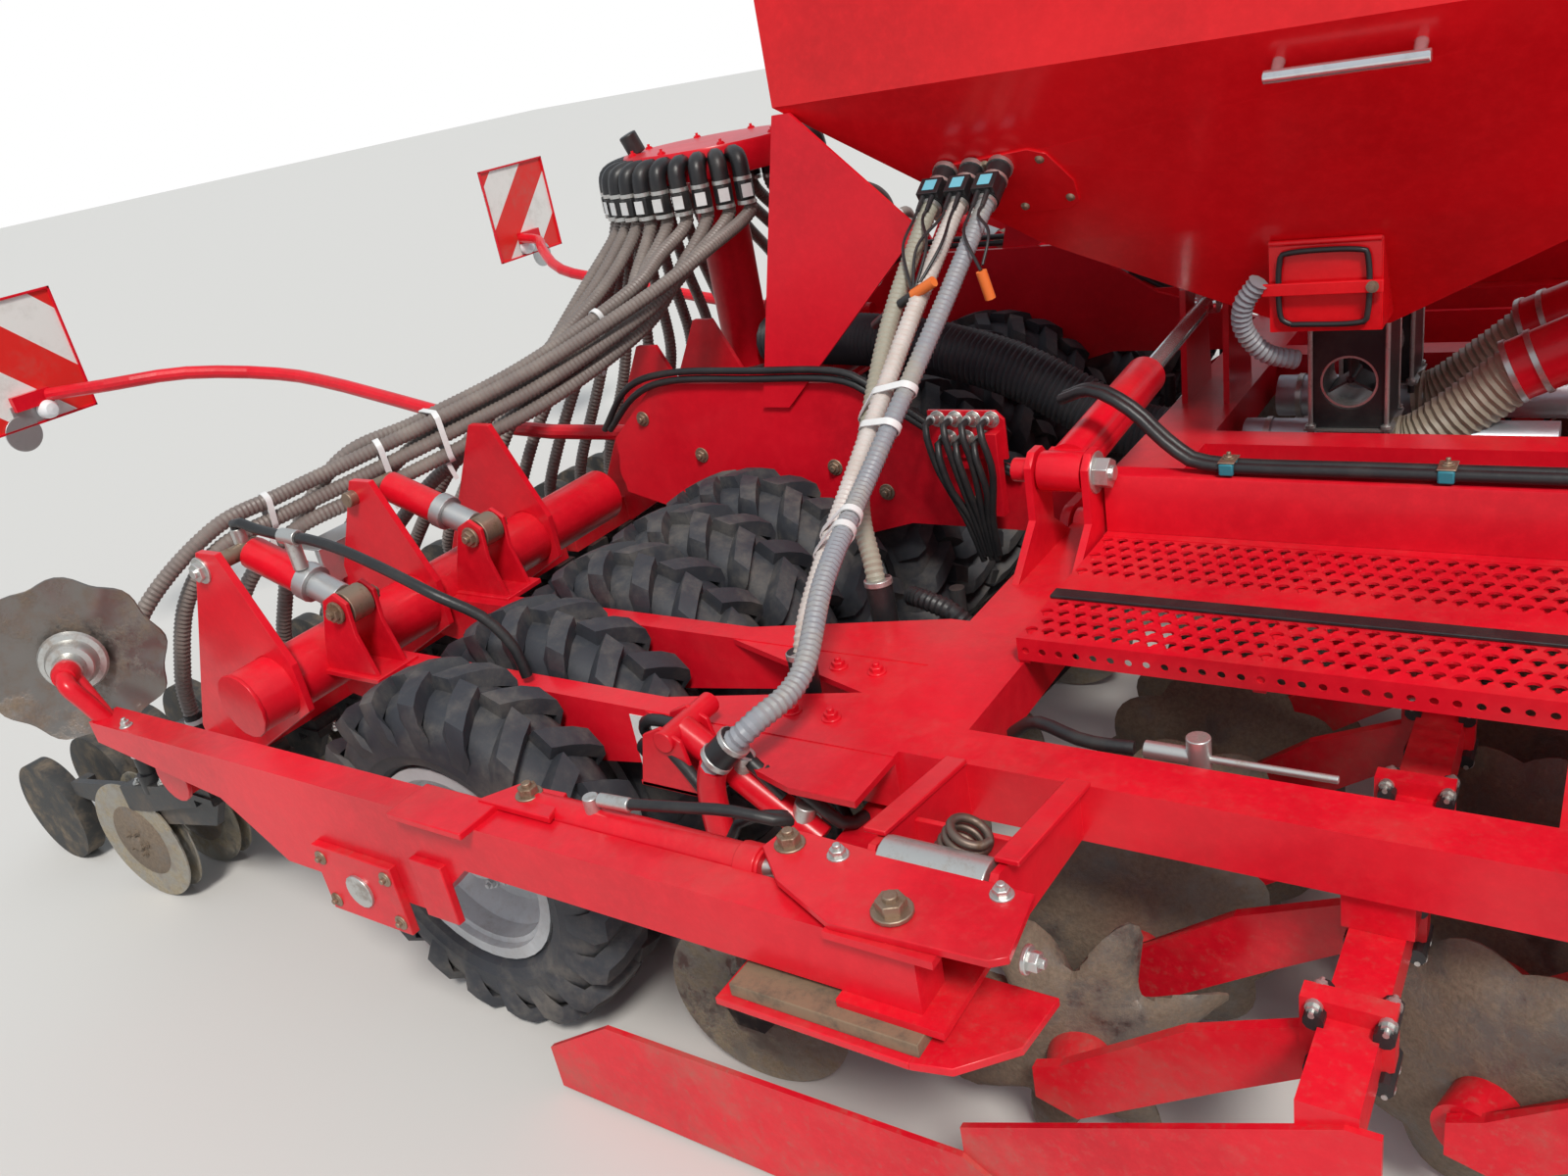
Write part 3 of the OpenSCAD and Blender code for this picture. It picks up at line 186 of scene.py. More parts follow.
def one_axis(tree, coords, kind, axis):
    return add_node(tree, "SeparateXYZ", {0: coords[kind]}).outputs[axis]


def noise(tree, coords, scale, detail=4.0, rough=0.6):
    return add_node(tree, "TexNoise", {"Vector": coords["Object"], "Scale": scale, "Detail": detail,
        "Roughness": rough}).outputs["Fac"]


def soft_step(tree, value, low, high, top=1.0):
    return add_node(tree, "MapRange",
        {"Value": value, "From Min": low, "From Max": high, "To Max": top},
        interpolation_type="SMOOTHSTEP").outputs["Result"]


def sums(tree, kind, a, b):
    return add_node(tree, "Math", {0: a, 1: b}, operation=kind, use_clamp=True).outputs[0]


def blend_colour(tree, mask, a, b):
    return add_node(tree, "Mix", {0: mask, 6: a, 7: b}, data_type="RGBA").outputs[2]


def duller(tree, mask, share, rough):
    """The roughness, raised by a share of the mask that says where it is dirty."""
    return sums(tree, "ADD", sums(tree, "MULTIPLY", mask, share), rough)


def bump(tree, shader, height, strength, distance):
    node = add_node(tree, "Bump", {"Strength": strength, "Distance": distance, "Height": height})
    feed(tree, shader, {"Normal": node.outputs[0]})


def settled_dust(tree, coords, amount, high_z):
    """Dust lies on what faces up, and mud splashes up from below."""
    facing = soft_step(tree, one_axis(tree, coords, "Normal", "Z"), 0.2, 1.0, 0.14)
    splash = soft_step(tree, one_axis(tree, coords, "Object", "Z"), high_z, SPLASH_FOOT, 0.5)
    reach = sums(tree, "ADD", facing, splash)
    cloud = soft_step(tree, noise(tree, coords, 5.0, 8.0, 0.68), 0.42, 0.78)
    speck = soft_step(tree, noise(tree, coords, 60.0, 4.0, 0.7), 0.5, 0.75, 0.5)
    patch = sums(tree, "ADD", cloud, speck)
    return sums(tree, "MULTIPLY", sums(tree, "MULTIPLY", reach, patch), amount)


DUST = (0.26, 0.2, 0.15)
MUD = (0.14, 0.105, 0.075)
SPLASH_FOOT = 0.1


def paint(name, colour, rough=0.3, amount=1.0, coat=0.1, high_z=0.8):
    """Machine paint: slow fading, dust and mud, worn and dull where it is dirty."""
    mat, tree, shader = blank(name)
    coords = where(tree)
    fade = soft_step(tree, noise(tree, coords, 2.2, 3.0), 0.3, 0.72)
    body = blend_colour(tree, fade, colour, tuple(c * 0.74 for c in colour))
    fine = soft_step(tree, noise(tree, coords, 35.0, 6.0, 0.75), 0.35, 0.8, 0.35)
    body = blend_colour(tree, fine, body, tuple(min(1, c * 1.25 + 0.01) for c in colour))
    dust = settled_dust(tree, coords, amount, high_z)
    feed(tree, shader, {"Base Color": blend_colour(tree, dust, body, DUST), "Roughness":
        duller(tree, dust, 0.55, rough), "Coat Weight": coat, "Coat Roughness": 0.15,
        "Specular IOR Level": 0.3})
    bump(tree, shader, noise(tree, coords, 90.0, 3.0), 0.12, 0.002)
    return mat


def metal(name, colour, rough=0.38, stain=(0.2, 0.11, 0.06), amount=0.5, scale=24.0):
    """Bare or plated metal with stains in patches."""
    mat, tree, shader = blank(name)
    coords = where(tree)
    patch = soft_step(tree, noise(tree, coords, scale, 6.0, 0.7), 0.48, 0.72, amount)
    feed(tree, shader, {"Base Color": blend_colour(tree, patch, colour, stain), "Roughness":
        duller(tree, patch, 0.5, rough), "Metallic": 0.85})
    bump(tree, shader, noise(tree, coords, 160.0, 4.0), 0.15, 0.001)
    return mat


def earth_steel(name, steel, mud, cover, scale=7.0):
    """A tool's steel, polished by the soil and patched with dried mud."""
    mat, tree, shader = blank(name)
    coords = where(tree)
    cloud = noise(tree, coords, scale, 10.0, 0.72)
    patch = soft_step(tree, cloud, 0.66 - cover, 0.86 - cover)
    grains = noise(tree, coords, 120.0, 5.0, 0.7)
    pale = tuple(c * 1.5 for c in mud)
    wet = blend_colour(tree, soft_step(tree, grains, 0.3, 0.7), mud, pale)
    rust = soft_step(tree, noise(tree, coords, 30.0, 6.0), 0.45, 0.7, 0.35)
    body = blend_colour(tree, rust, steel, (0.22, 0.13, 0.08))
    feed(tree, shader, {"Base Color": blend_colour(tree, patch, body, wet), "Roughness":
        duller(tree, patch, 0.5, 0.36), "Metallic": sums(tree, "SUBTRACT", 0.9, patch)})
    bump(tree, shader, sums(tree, "MULTIPLY", patch, grains), 0.5, 0.004)
    return mat


def rubber(name, colour, dust, rough=0.62, amount=0.6, scale=9.0):
    """Rubber and plastic, greyed by dust in clouds that thicken near the ground."""
    mat, tree, shader = blank(name)
    coords = where(tree)
    cloud = soft_step(tree, noise(tree, coords, scale, 9.0, 0.7), 0.42, 0.75, amount)
    low = soft_step(tree, one_axis(tree, coords, "Object", "Z"), 0.45, 0.0, 0.35)
    mask = sums(tree, "ADD", cloud, sums(tree, "MULTIPLY", low, cloud))
    feed(tree, shader, {"Base Color": blend_colour(tree, mask, colour, dust), "Roughness":
        duller(tree, mask, 0.3, rough)})
    bump(tree, shader, noise(tree, coords, 140.0, 5.0, 0.7), 0.25, 0.002)
    return mat


def striped_board(name, s):
    """Red and white stripes of a warning board, slanting the other way on each side."""
    mat, tree, shader = blank(name)
    coords = where(tree)
    slant = add_node(tree, "Math", {0: one_axis(tree, coords, "Object", "Y"), 1: -s, 2:
        one_axis(tree, coords, "Object", "Z")}, operation="MULTIPLY_ADD").outputs[0]
    wave = add_node(tree, "Math", {0: slant, 1: 0.2}, operation="PINGPONG").outputs[0]
    band = soft_step(tree, wave, 0.0985, 0.1015)
    body = blend_colour(tree, band, (0.75, 0.02, 0.015), (0.82, 0.81, 0.78))
    dirt = soft_step(tree, noise(tree, coords, 9.0, 8.0, 0.7), 0.45, 0.8, 0.35)
    feed(tree, shader, {"Base Color": blend_colour(tree, dirt, body, DUST), "Roughness": 0.4})
    return mat


RED = (0.74, 0.006, 0.02)
M = {
    "red": paint("machine_red", RED),
    "hopper": paint("hopper_red", (0.78, 0.006, 0.012), rough=0.22, amount=0.2, coat=0.25),
    "black": paint("coulter_black", (0.022, 0.023, 0.026), rough=0.42, amount=1.5, coat=0.05,
                   high_z=0.7),
    "disc": earth_steel("harrow_disc_steel", (0.2, 0.185, 0.17), MUD, 0.31),
    "coulter_disc": earth_steel("coulter_disc_steel", (0.4, 0.38, 0.34), (0.24, 0.2, 0.14), 0.26,
                                16.0),
    "rim": paint("rim_silver", (0.52, 0.54, 0.56), rough=0.4, amount=0.9, coat=0.1),
    "tyre": rubber("tyre_rubber", (0.034, 0.037, 0.046), (0.15, 0.135, 0.12), amount=0.75),
    "press": rubber("press_rubber", (0.03, 0.03, 0.03), (0.16, 0.125, 0.09), amount=0.95,
                    scale=14.0),
    "chrome": metal("cylinder_chrome", (0.75, 0.76, 0.78), rough=0.12, amount=0.2),
    "zinc": metal("zinc_plate", (0.6, 0.6, 0.58)),
    "rusty": metal("weathered_bolt", (0.36, 0.27, 0.2), rough=0.5, amount=0.9),
    "grey_steel": metal("galvanised_steel", (0.55, 0.56, 0.56), rough=0.42, amount=0.25,
                        scale=10.0),
    "plastic": rubber("black_plastic", (0.016, 0.016, 0.018), (0.09, 0.08, 0.07), rough=0.38,
                      amount=0.3),
    "seed_hose": rubber("seed_hose_grey_brown", (0.205, 0.17, 0.155), (0.29, 0.25, 0.22),
                        rough=0.42, amount=0.8),
    "grey_hose": rubber("grey_hose", (0.27, 0.28, 0.31), (0.38, 0.34, 0.27), rough=0.4, amount=0.9,
                        scale=5.0),
    "flex_hose": rubber("beige_flex_hose", (0.42, 0.38, 0.29), (0.24, 0.19, 0.13), rough=0.4,
                        amount=0.5),
    "white": rubber("cable_tie_white", (0.75, 0.76, 0.76), (0.4, 0.38, 0.34), rough=0.4,
                    amount=0.3),
    "lamp": plain("lamp_white", (0.8, 0.82, 0.84), 0.18),
    "wood": rubber("weathered_wood", (0.24, 0.16, 0.1), (0.1, 0.08, 0.06), rough=0.75, amount=0.9,
                   scale=30.0),
    "spring": metal("spring_steel", (0.2, 0.15, 0.125), rough=0.5, amount=0.8),
    "teal": rubber("clip_teal", (0.02, 0.2, 0.26), (0.06, 0.09, 0.1), rough=0.45, amount=0.4),
    "label": plain("label_light_blue", (0.16, 0.5, 0.62), 0.4),
    "marker_disc": earth_steel("marker_disc_steel", (0.24, 0.22, 0.205), MUD, 0.2, 10.0),
    "pale_hose": rubber("pale_hose", (0.62, 0.56, 0.53), (0.42, 0.34, 0.27), rough=0.4, amount=0.7,
                        scale=6.0),
    "beige_hose": rubber("beige_hose", (0.36, 0.345, 0.28), (0.3, 0.26, 0.19), rough=0.42,
                         amount=0.8, scale=5.0),
    "air_hose": rubber("air_hose_black", (0.04, 0.044, 0.052), (0.1, 0.09, 0.08), rough=0.42,
                       amount=0.3),
    "duct": metal("duct_aluminium", (0.6, 0.66, 0.72), rough=0.4, stain=(0.4, 0.42, 0.44),
                  amount=0.4, scale=8.0),
    "orange": plain("tag_orange", (0.8, 0.18, 0.03), 0.5),
}


# Making shapes

def put(name, mesh, body):
    """Sets a mesh on its body; one without a body is left unattached."""
    obj = bpy.data.objects.new(name, mesh)
    bpy.context.collection.objects.link(obj)
    if body:
        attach(obj, body)
    return obj


def soften(obj, width, angle):
    """Rounds the edges that are sharper than an angle."""
    edge = obj.modifiers.new("edge", "BEVEL")
    edge.width = width
    edge.segments = 2
    edge.angle_limit = math.radians(angle)


def piece(name, bm, material, body, smooth=None, bevel=0.0):
    """Turns a bmesh into a finished piece on a body; smooth is the angle that stays sharp."""
    mesh = bpy.data.meshes.new(name)
    bm.normal_update()
    bm.to_mesh(mesh)
    bm.free()
    mesh.materials.append(material)
    if smooth is not None:
        mesh.shade_smooth()
        mesh.set_sharp_from_angle(angle=math.radians(smooth))
    obj = put(name, mesh, body)
    if bevel:
        soften(obj, bevel, 40)
    return obj


def verts_of(made):
    return [v for v in made if isinstance(v, bmesh.types.BMVert)]


def up(height):
    """A step straight up."""
    return Vector((0, 0, height))


def box(bm, low, high):
    made = bmesh.ops.create_cube(bm, size=1)["verts"]
    low, high = Vector(low), Vector(high)
    bmesh.ops.scale(bm, vec=high - low, verts=made)
    bmesh.ops.translate(bm, vec=(low + high) / 2, verts=made)
    return made


def along(a, b):
    """The transform that lays the z axis along a line from a to b."""
    a, b = Vector(a), Vector(b)
    turn = (b - a).to_track_quat("Z", "Y").to_matrix().to_4x4()
    return Matrix.Translation((a + b) / 2) @ turn


def rod(bm, a, b, r, r2=None, sides=16):
    length = (Vector(b) - Vector(a)).length
    return bmesh.ops.create_cone(bm, cap_ends=True, segments=sides, radius1=r, radius2=r if r2 is None
        else r2, depth=length, matrix=along(a, b))["verts"]


def bolt(bm, place, axis, size=0.012, length=0.012):
    """Hexagon head on a washer, standing out along axis."""
    place, axis = Vector(place), Vector(axis).normalized()
    rod(bm, place - axis * 0.004, place + axis * 0.003, size * 1.35)
    rod(bm, place, place + axis * length, size, sides=6)
    rod(bm, place, place + axis * (length + 0.007), size * 0.5, sides=10)


def ring_of_bolts(bm, count, ring, height, size, length):
    """Bolts in a circle round the z axis."""
    for i in range(count):
        a = i * math.tau / count
        bolt(bm, (ring * math.cos(a), ring * math.sin(a), height), (0, 0, 1), size, length)


def plate(bm, outline, axis, low, high):
    """A plate between two values of one axis, its outline given in the two others."""
    index = "xyz".index(axis)
    corners = []
    for a, b in outline:
        co = [a, b]
        co.insert(index, low)
        corners.append(bm.verts.new(co))
    face = bmesh.ops.contextual_create(bm, geom=corners)["faces"]
    top = verts_of(bmesh.ops.extrude_face_region(bm, geom=face)["geom"])
    reach = Vector((0, 0, 0))
    reach[index] = high - low
    bmesh.ops.translate(bm, vec=reach, verts=top)
    own = set(corners + top)
    bmesh.ops.recalc_face_normals(bm, faces=[f for f in bm.faces if own & set(f.verts)])


MAKERS = {"box": box, "rod": rod, "bolt": bolt, "plate": plate}


def to_left(bm):
    """Turns a shape drawn for the right side into its mirror."""
    bmesh.ops.scale(bm, vec=(1, -1, 1), verts=bm.verts)
    bmesh.ops.reverse_faces(bm, faces=bm.faces)


def both_sides(name, shapes, material, body="wing_{}", bevel=0.0015):
    """A piece drawn for the right side from a list of shapes, and its mirror for the left."""
    for side, s in SIDES.items():
        bm = bmesh.new()
        for kind, *sizes in shapes:
            MAKERS[kind](bm, *sizes)
        if s > 0:
            to_left(bm)
        piece(f"{name}_{side}", bm, M[material], body.format(side), 30, bevel)


def both_sides_hose(name, routes, r, material, body="wing_{}", **more):
    """A hose on each side; one without a body is left unattached, its mesh baked into place."""
    for side, s in SIDES.items():
        obj = hose(f"{name}_{side}", [sided(route, s) for route in routes], r, M[material],
                   body and body.format(side), **more)
        if body is None:
            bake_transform(obj)


def pattern(bm):
    """Keeps a bmesh as a mesh to stamp from."""
    mesh = bpy.data.meshes.new("pattern")
    bm.to_mesh(mesh)
    bm.free()
    return mesh


def stamp(bm, mesh, turn):
    """Adds a copy of a small mesh, placed by a matrix."""
    copy = mesh.copy()
    copy.transform(turn)
    bm.from_mesh(copy)
    bpy.data.meshes.remove(copy)


def repeated(kinds, places, smooth=30):
    """Pieces for each body, every kind stamped from its own small mesh at that body's places."""
    meshes = [pattern(small) for _, small, _ in kinds]
    for body, turns in places.items():
        for (name, _, material), mesh in zip(kinds, meshes):
            bm = bmesh.new()
            for turn in turns:
                stamp(bm, mesh, turn)
            piece(f"{name}_{body}", bm, M[material], body, smooth=smooth)


def lathe(bm, profile, place, axis, steps):
    """Spins an outline of (radius, along) points about a line through place."""
    own = bmesh.new()
    verts = [own.verts.new((r, 0, t)) for r, t in profile]
    edges = [own.edges.new(pair) for pair in zip(verts, verts[1:])]
    bmesh.ops.spin(own, geom=verts + edges, cent=(0, 0, 0), axis=(0, 0, 1), angle=math.tau, steps=steps,
        use_merge=True)
    turn = {"X": Matrix.Rotation(math.pi / 2, 4, "Y"), "Z": Matrix.Identity(4),
            "Y": Matrix.Rotation(-math.pi / 2, 4, "X")}[axis]
    stamp(bm, pattern(own), Matrix.Translation(place) @ turn)


def sided(route, s):
    """Routes are written for the right side; the left side's are their mirror."""
    return [Vector((p[0], -s * p[1], p[2])) for p in route]


def curve_points(route, step):
    """Points at even steps along a smooth line through the route's points."""
    pts = [Vector(p) for p in route]
    pts = [pts[0] * 2 - pts[1]] + pts + [pts[-1] * 2 - pts[-2]]
    fine = []
    for p0, p1, p2, p3 in zip(pts, pts[1:], pts[2:], pts[3:]):
        for i in range(24):
            t = i / 24
            fine.append(0.5 * (2 * p1 + (p2 - p0) * t + (2 * p0 - 5 * p1 + 4 * p2 - p3) * t * t +
                (3 * p1 - p0 - 3 * p2 + p3) * t ** 3))
    fine.append(pts[-2])
    even, left = [fine[0]], step
    for a, b in zip(fine, fine[1:]):
        gap = (b - a).length
        while gap > 0 and left <= gap:
            a = a + (b - a) * (left / gap)
            gap = (b - a).length
            even.append(a)
            left = step
        left -= gap
    return even


def hose(name, routes, r, material, body, pitch=0.0, depth=0.12, sides=2, step=0.03, slot=None):
    """Hoses on one mesh; with a pitch the wall is ribbed, a ring out and a ring in per pitch."""
    data = bpy.data.curves.new(name, "CURVE")
    data.dimensions = "3D"
    data.bevel_depth = r
    data.bevel_resolution = sides
    data.use_fill_caps = True
    looks = material if isinstance(material, list) else [material]
    for look in looks:
        data.materials.append(look)
    for k, route in enumerate(routes):
        pts = curve_points(route, pitch / 2 if pitch else step)
        spline = data.splines.new("POLY")
        spline.material_index = k % len(looks)
        spline.points.add(len(pts) - 1)
        for i, (p, co) in enumerate(zip(spline.points, pts)):
            p.co = (*co, 1)
            p.radius = 1 - depth * (i % 2) if pitch else 1
    curve = bpy.data.objects.new(name + "_line", data)
    bpy.context.collection.objects.link(curve)
    bpy.context.view_layer.update()
    mesh = bpy.data.meshes.new_from_object(curve)
    bpy.data.objects.remove(curve)
    mesh.name = name
    mesh.shade_smooth()
    if pitch:
        for edge in mesh.edges:
            start, end = (mesh.vertices[i].co for i in edge.vertices)
            edge.use_edge_sharp = (end - start).length > pitch * 0.9
    return put(name, mesh, body)


# Finishes of the parts made in CAD

def finish_node(node, material, edge):
    """A part made in CAD keeps its shape and gets its finish and a soft edge."""
    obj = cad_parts[node]
    obj.data.materials.clear()
    obj.data.materials.append(M[material])
    if edge:
        weld = obj.modifiers.new("weld", "WELD")
        weld.merge_threshold = 0.00005
        soften(obj, edge, 35)


NODE_FINISH = {
    "centre_frame": ("red", 0.003), "drawbar": ("red", 0.003), "hopper": ("hopper", 0.003),
    "hopper_lid": ("hopper", 0.002), "access_door": ("hopper", 0.0015),
    "metering": ("plastic", 0.002), "air_duct": ("duct", 0.001),
    "fan_housing": ("red", 0.002), "fan_rotor": ("black", 0.0), "distributor": ("red", 0.004),
    "light_arms": ("red", 0.0), "warning_boards": ("white", 0.0), "hitch_bar": ("red", 0.003),
    "jack_leg": ("zinc", 0.002),
}
PART_FINISH = {
    "disc_arms": ("red", 0.002), "discs": ("disc", 0.0), "tyres": ("tyre", 0.0),
    "rims": ("rim", 0.001), "coulter_arms": ("black", 0.0015),
    "coulter_discs": ("coulter_disc", 0.0), "press_wheels": ("press", 0.004),
    "coulter_frame": ("red", 0.002), "wing_frame": ("red", 0.003), "grating": ("red", 0.001),
    "fold_barrel": ("red", 0.002), "fold_rod": ("chrome", 0.001), "marker_head": ("red", 0.002),
    "marker_arm": ("red", 0.003), "marker_disc": ("disc", 0.0),
}


def finish_nodes():
    for node, (material, edge) in NODE_FINISH.items():
        finish_node(node, material, edge)
    for part, (material, edge) in PART_FINISH.items():
        for end in ("right", "left", "centre"):
            if f"{part}_{end}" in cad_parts:
                finish_node(f"{part}_{end}", material, edge)


# Packer wheels

def lug(side):
    """One chevron bar, from the middle of the tread out and down over the shoulder."""
    bm = bmesh.new()
    bmesh.ops.create_cube(bm, size=1)
    lengthways = [e for e in bm.edges if abs((e.verts[0].co - e.verts[1].co).x) > 0.5]
    line = [(-0.006, 0.0, 0.0), (0.03, 0.045, 0.001), (0.062, 0.095, 0.004),
            (0.09, 0.145, 0.014), (0.1005, 0.185, 0.04), (0.1025, 0.2, 0.075)]
    last = len(line) - 1
    bmesh.ops.subdivide_edges(bm, edges=lengthways, cuts=last - 1)
    for v in bm.verts:
        u = round((v.co.x + 0.5) * last)
        y, turn, drop = line[u]
        top = v.co.z > 0
        wide = 0.034 - 0.011 * top
        r = TYRE_R - drop if top else TYRE_R - drop - 0.036
        if u == last and top:
            r -= 0.012
        y_out = y if top else y - 0.008 * (u > 3)
        angle = turn + v.co.y * wide / TYRE_R * (2 if u < last else 1.6)
        v.co = (r * math.sin(angle), side * y_out, r * math.cos(angle))
    return pattern(bm)


def packer_tyres(name, rows, body, node):
    """Tractor-pattern tyres: a carcass and two rows of bars, half a step apart."""
    tyre = bmesh.new()
    half = [(0.359, 0.0), (0.357, 0.035), (0.348, 0.065), (0.332, 0.084), (0.3, 0.093),
            (0.262, 0.096), (0.256, 0.092), (0.238, 0.088), (0.226, 0.0695), (0.205, 0.0705)]
    carcass = [(r, -t) for r, t in reversed(half)] + half[1:] + [(0.205, -0.0705)]
    lathe(tyre, carcass, (0, 0, 0), "Y", 64)
    bmesh.ops.remove_doubles(tyre, verts=tyre.verts, dist=0.00005)
    for side, shift in ((1, 0.0), (-1, 0.5)):
        bar = lug(side)
        for i in range(TYRE_BARS):
            stamp(tyre, bar, Matrix.Rotation((i + shift) * math.tau / TYRE_BARS, 4, "Y"))
    bmesh.ops.recalc_face_normals(tyre, faces=tyre.faces)
    tyre = pattern(tyre)
    bm = bmesh.new()
    for y in rows:
        turn = Matrix.Rotation(y * 7, 4, "Y")
        stamp(bm, tyre, Matrix.Translation((AXLE.x, y, AXLE.z)) @ turn)
    obj = piece(name, bm, M["tyre"], body, smooth=35)
    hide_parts(node)


def wheel_dishes(name, rows, body, node, axle):
    """Pressed wheel centres with a ribbed band, a hub and a ring of nuts."""
    bm = bmesh.new()
    dish = [(0.0, 0.052), (0.05, 0.052), (0.052, 0.03), (0.085, 0.022), (0.1, -0.012), (0.15, -0.02),
        (0.172, 0.01), (0.188, 0.02), (0.19, 0.055), (0.2, 0.06), (0.2047, 0.0712), (0.2235, 0.0712),
        (0.2235, 0.0785), (0.198, 0.0785), (0.196, 0.064), (0.186, 0.06), (0.183, -0.066),
        (0.196, -0.0785), (0.2235, -0.0785), (0.2235, -0.0712), (0.2047, -0.0712), (0.2047, -0.05)]
    for y in rows:
        out = -1 if y < 0 else 1
        lathe(bm, [(r, t * out) for r, t in dish], (AXLE.x, y, AXLE.z), "Y", 40)
        for i in range(8):
            a = i * math.pi / 4
            spot = (AXLE.x + 0.078 * math.sin(a), y + out * 0.024, AXLE.z + 0.078 * math.cos(a))
            bolt(bm, spot, (0, out, 0), 0.011, 0.012)
    rod(bm, (AXLE.x, axle[0], AXLE.z), (AXLE.x, axle[1], AXLE.z), 0.035, sides=24)
    bmesh.ops.recalc_face_normals(bm, faces=bm.faces)
    obj = piece(name, bm, M["rim"], body, smooth=30)
    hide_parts(node)


def packer():
    for side, s in SIDES.items():
        rows = [-s * y for y in WING_TYRES]
        packer_tyres(f"packer_tyres_{side}", rows, f"packer_{side}", f"tyres_{side}")
        wheel_dishes(f"wheel_dishes_{side}", rows, f"packer_{side}", f"rims_{side}",
            (s * 0.85, s * 1.99))
    packer_tyres("packer_tyres_middle", CENTRE_TYRES, "packer_centre", "tyres_centre")
    wheel_dishes("wheel_dishes_middle", CENTRE_TYRES, "packer_centre", "rims_centre", (-0.735, 0.735))


# Disc harrow

def lobed_disc(radius, hollow, lobes, notch, wave=0.0, power=1.1, rings=6):
    """A dished disc with lobes round its edge, its hollow side towards z."""
    bm = bmesh.new()
    steps = lobes * rings * 4 // 3
    ball = (radius ** 2 + hollow ** 2) / (2 * hollow)
    lathe(bm, [(radius * i / rings, 0) for i in range(rings + 1)], (0, 0, 0), "Z", steps)
    for v in bm.verts:
        r = math.hypot(v.co.x, v.co.y)
        a = math.atan2(v.co.y, v.co.x)
        reach = (r / radius) ** 3
        shape = 1 - notch * reach * (1 - abs(math.cos(lobes * a / 2)) ** power)
        sag = ball - math.sqrt(max(ball * ball - r * r, 0))
        v.co = (v.co.x * shape, v.co.y * shape, sag + wave * reach * math.sin(lobes * a))
    bmesh.ops.remove_doubles(bm, verts=bm.verts, dist=0.0005)
    bmesh.ops.recalc_face_normals(bm, faces=bm.faces)
    bmesh.ops.solidify(bm, geom=bm.faces[:], thickness=-0.005)
    return bm


def harrow_discs(name, body, node, s):
    """The discs of two rows, dished the opposite way in each row, with a bolted hub cap."""
    kinds = []
    for bm in (lobed_disc(DISC_R, 0.048, 10, 0.13),
               lobed_disc(DISC_R, 0.048, 8, 0.6, wave=0.02, power=1.7, rings=9)):
        rod(bm, (0, 0, 0.004), (0, 0, 0.022), 0.052, 0.04, sides=24)
        ring_of_bolts(bm, 5, 0.034, 0.02, 0.008, 0.008)
        kinds.append(pattern(bm))
    bm = bmesh.new()
    for hub_x, rows, angle in ((REAR_HUB_X, REAR_DISCS, DISC_ANGLE),
                               (FRONT_HUB_X, FRONT_DISCS, -DISC_ANGLE)):
        face = Matrix.Rotation(-s * angle, 4, "Z") @ Matrix.Rotation(math.pi / 2 * s, 4, "X")
        for y in rows[body]:
            spin = Matrix.Rotation(random.uniform(0, 1.2), 4, "Z")
            disc = kinds[abs(y) > STAR_DISCS_Y]
            stamp(bm, disc, Matrix.Translation((hub_x, y, DISC_Z)) @ face @ spin)
    obj = piece(name, bm, M["disc"], body, smooth=40)
    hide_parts(node)


def harrow():
    harrow_discs("lobed_discs_middle", "chassis", "discs_centre", -1)
    for side, s in SIDES.items():
        harrow_discs(f"lobed_discs_{side}", f"wing_{side}", f"discs_{side}", s)


def clamps():
    """Rubber rollers in the corners round each row tube, and the bolts of their clamps."""
    rubbers, bolts = bmesh.new(), bmesh.new()
    for dx in (-0.04, 0.04):
        for dz in (-0.04, 0.04):
            rod(rubbers, (dx, -0.034, dz), (dx, 0.034, dz), 0.013, sides=10)
            for out in (-1, 1):
                bolt(bolts, (dx * 1.05, out * 0.018, dz * 1.25), (0, out, 0), 0.008, 0.01)
    places = {}
    for body in REAR_DISCS:
        aside = 0.069 if body == "wing_left" else -0.069
        places[body] = [Matrix.Translation((hub_x + DISC_TRAIL, y + aside, ROW_Z))
            for hub_x, rows in ((REAR_HUB_X, REAR_DISCS), (FRONT_HUB_X, FRONT_DISCS)) for y in rows[body]]
    repeated([("clamp_rubbers", rubbers, "plastic"), ("clamp_bolts", bolts, "zinc")], places)


# Walkways

def cell_with_hole(radius, size_x, size_y, keyhole=False):
    """A flat cell round a hole, which a keyhole narrows at its foot; gives its edge as well."""
    bm = bmesh.new()
    hole = bmesh.ops.create_circle(bm, segments=16, radius=radius)["verts"]
    for v in hole:
        if keyhole and v.co.y < -0.003:
            v.co.x *= 0.45
            v.co.y *= 1.2
    for v in bmesh.ops.create_circle(bm, segments=16, radius=1)["verts"]:
        v.co /= max(abs(v.co.x), abs(v.co.y))
        v.co.x *= size_x / 2
        v.co.y *= size_y / 2
    bmesh.ops.bridge_loops(bm, edges=bm.edges[:])
    return bm, [e for e in bm.edges if all(v in hole for v in e.verts)]


def pull_edge(bm, edges, rise, size=1.0):
    """Draws a hole's edge up or down into a wall and gives the wall's new edge."""
    made = bmesh.ops.extrude_edge_only(bm, edges=edges)["geom"]
    bmesh.ops.translate(bm, vec=(0, 0, rise), verts=verts_of(made))
    bmesh.ops.scale(bm, vec=(size, size, 1), verts=verts_of(made))
    return [e for e in made if isinstance(e, bmesh.types.BMEdge)]


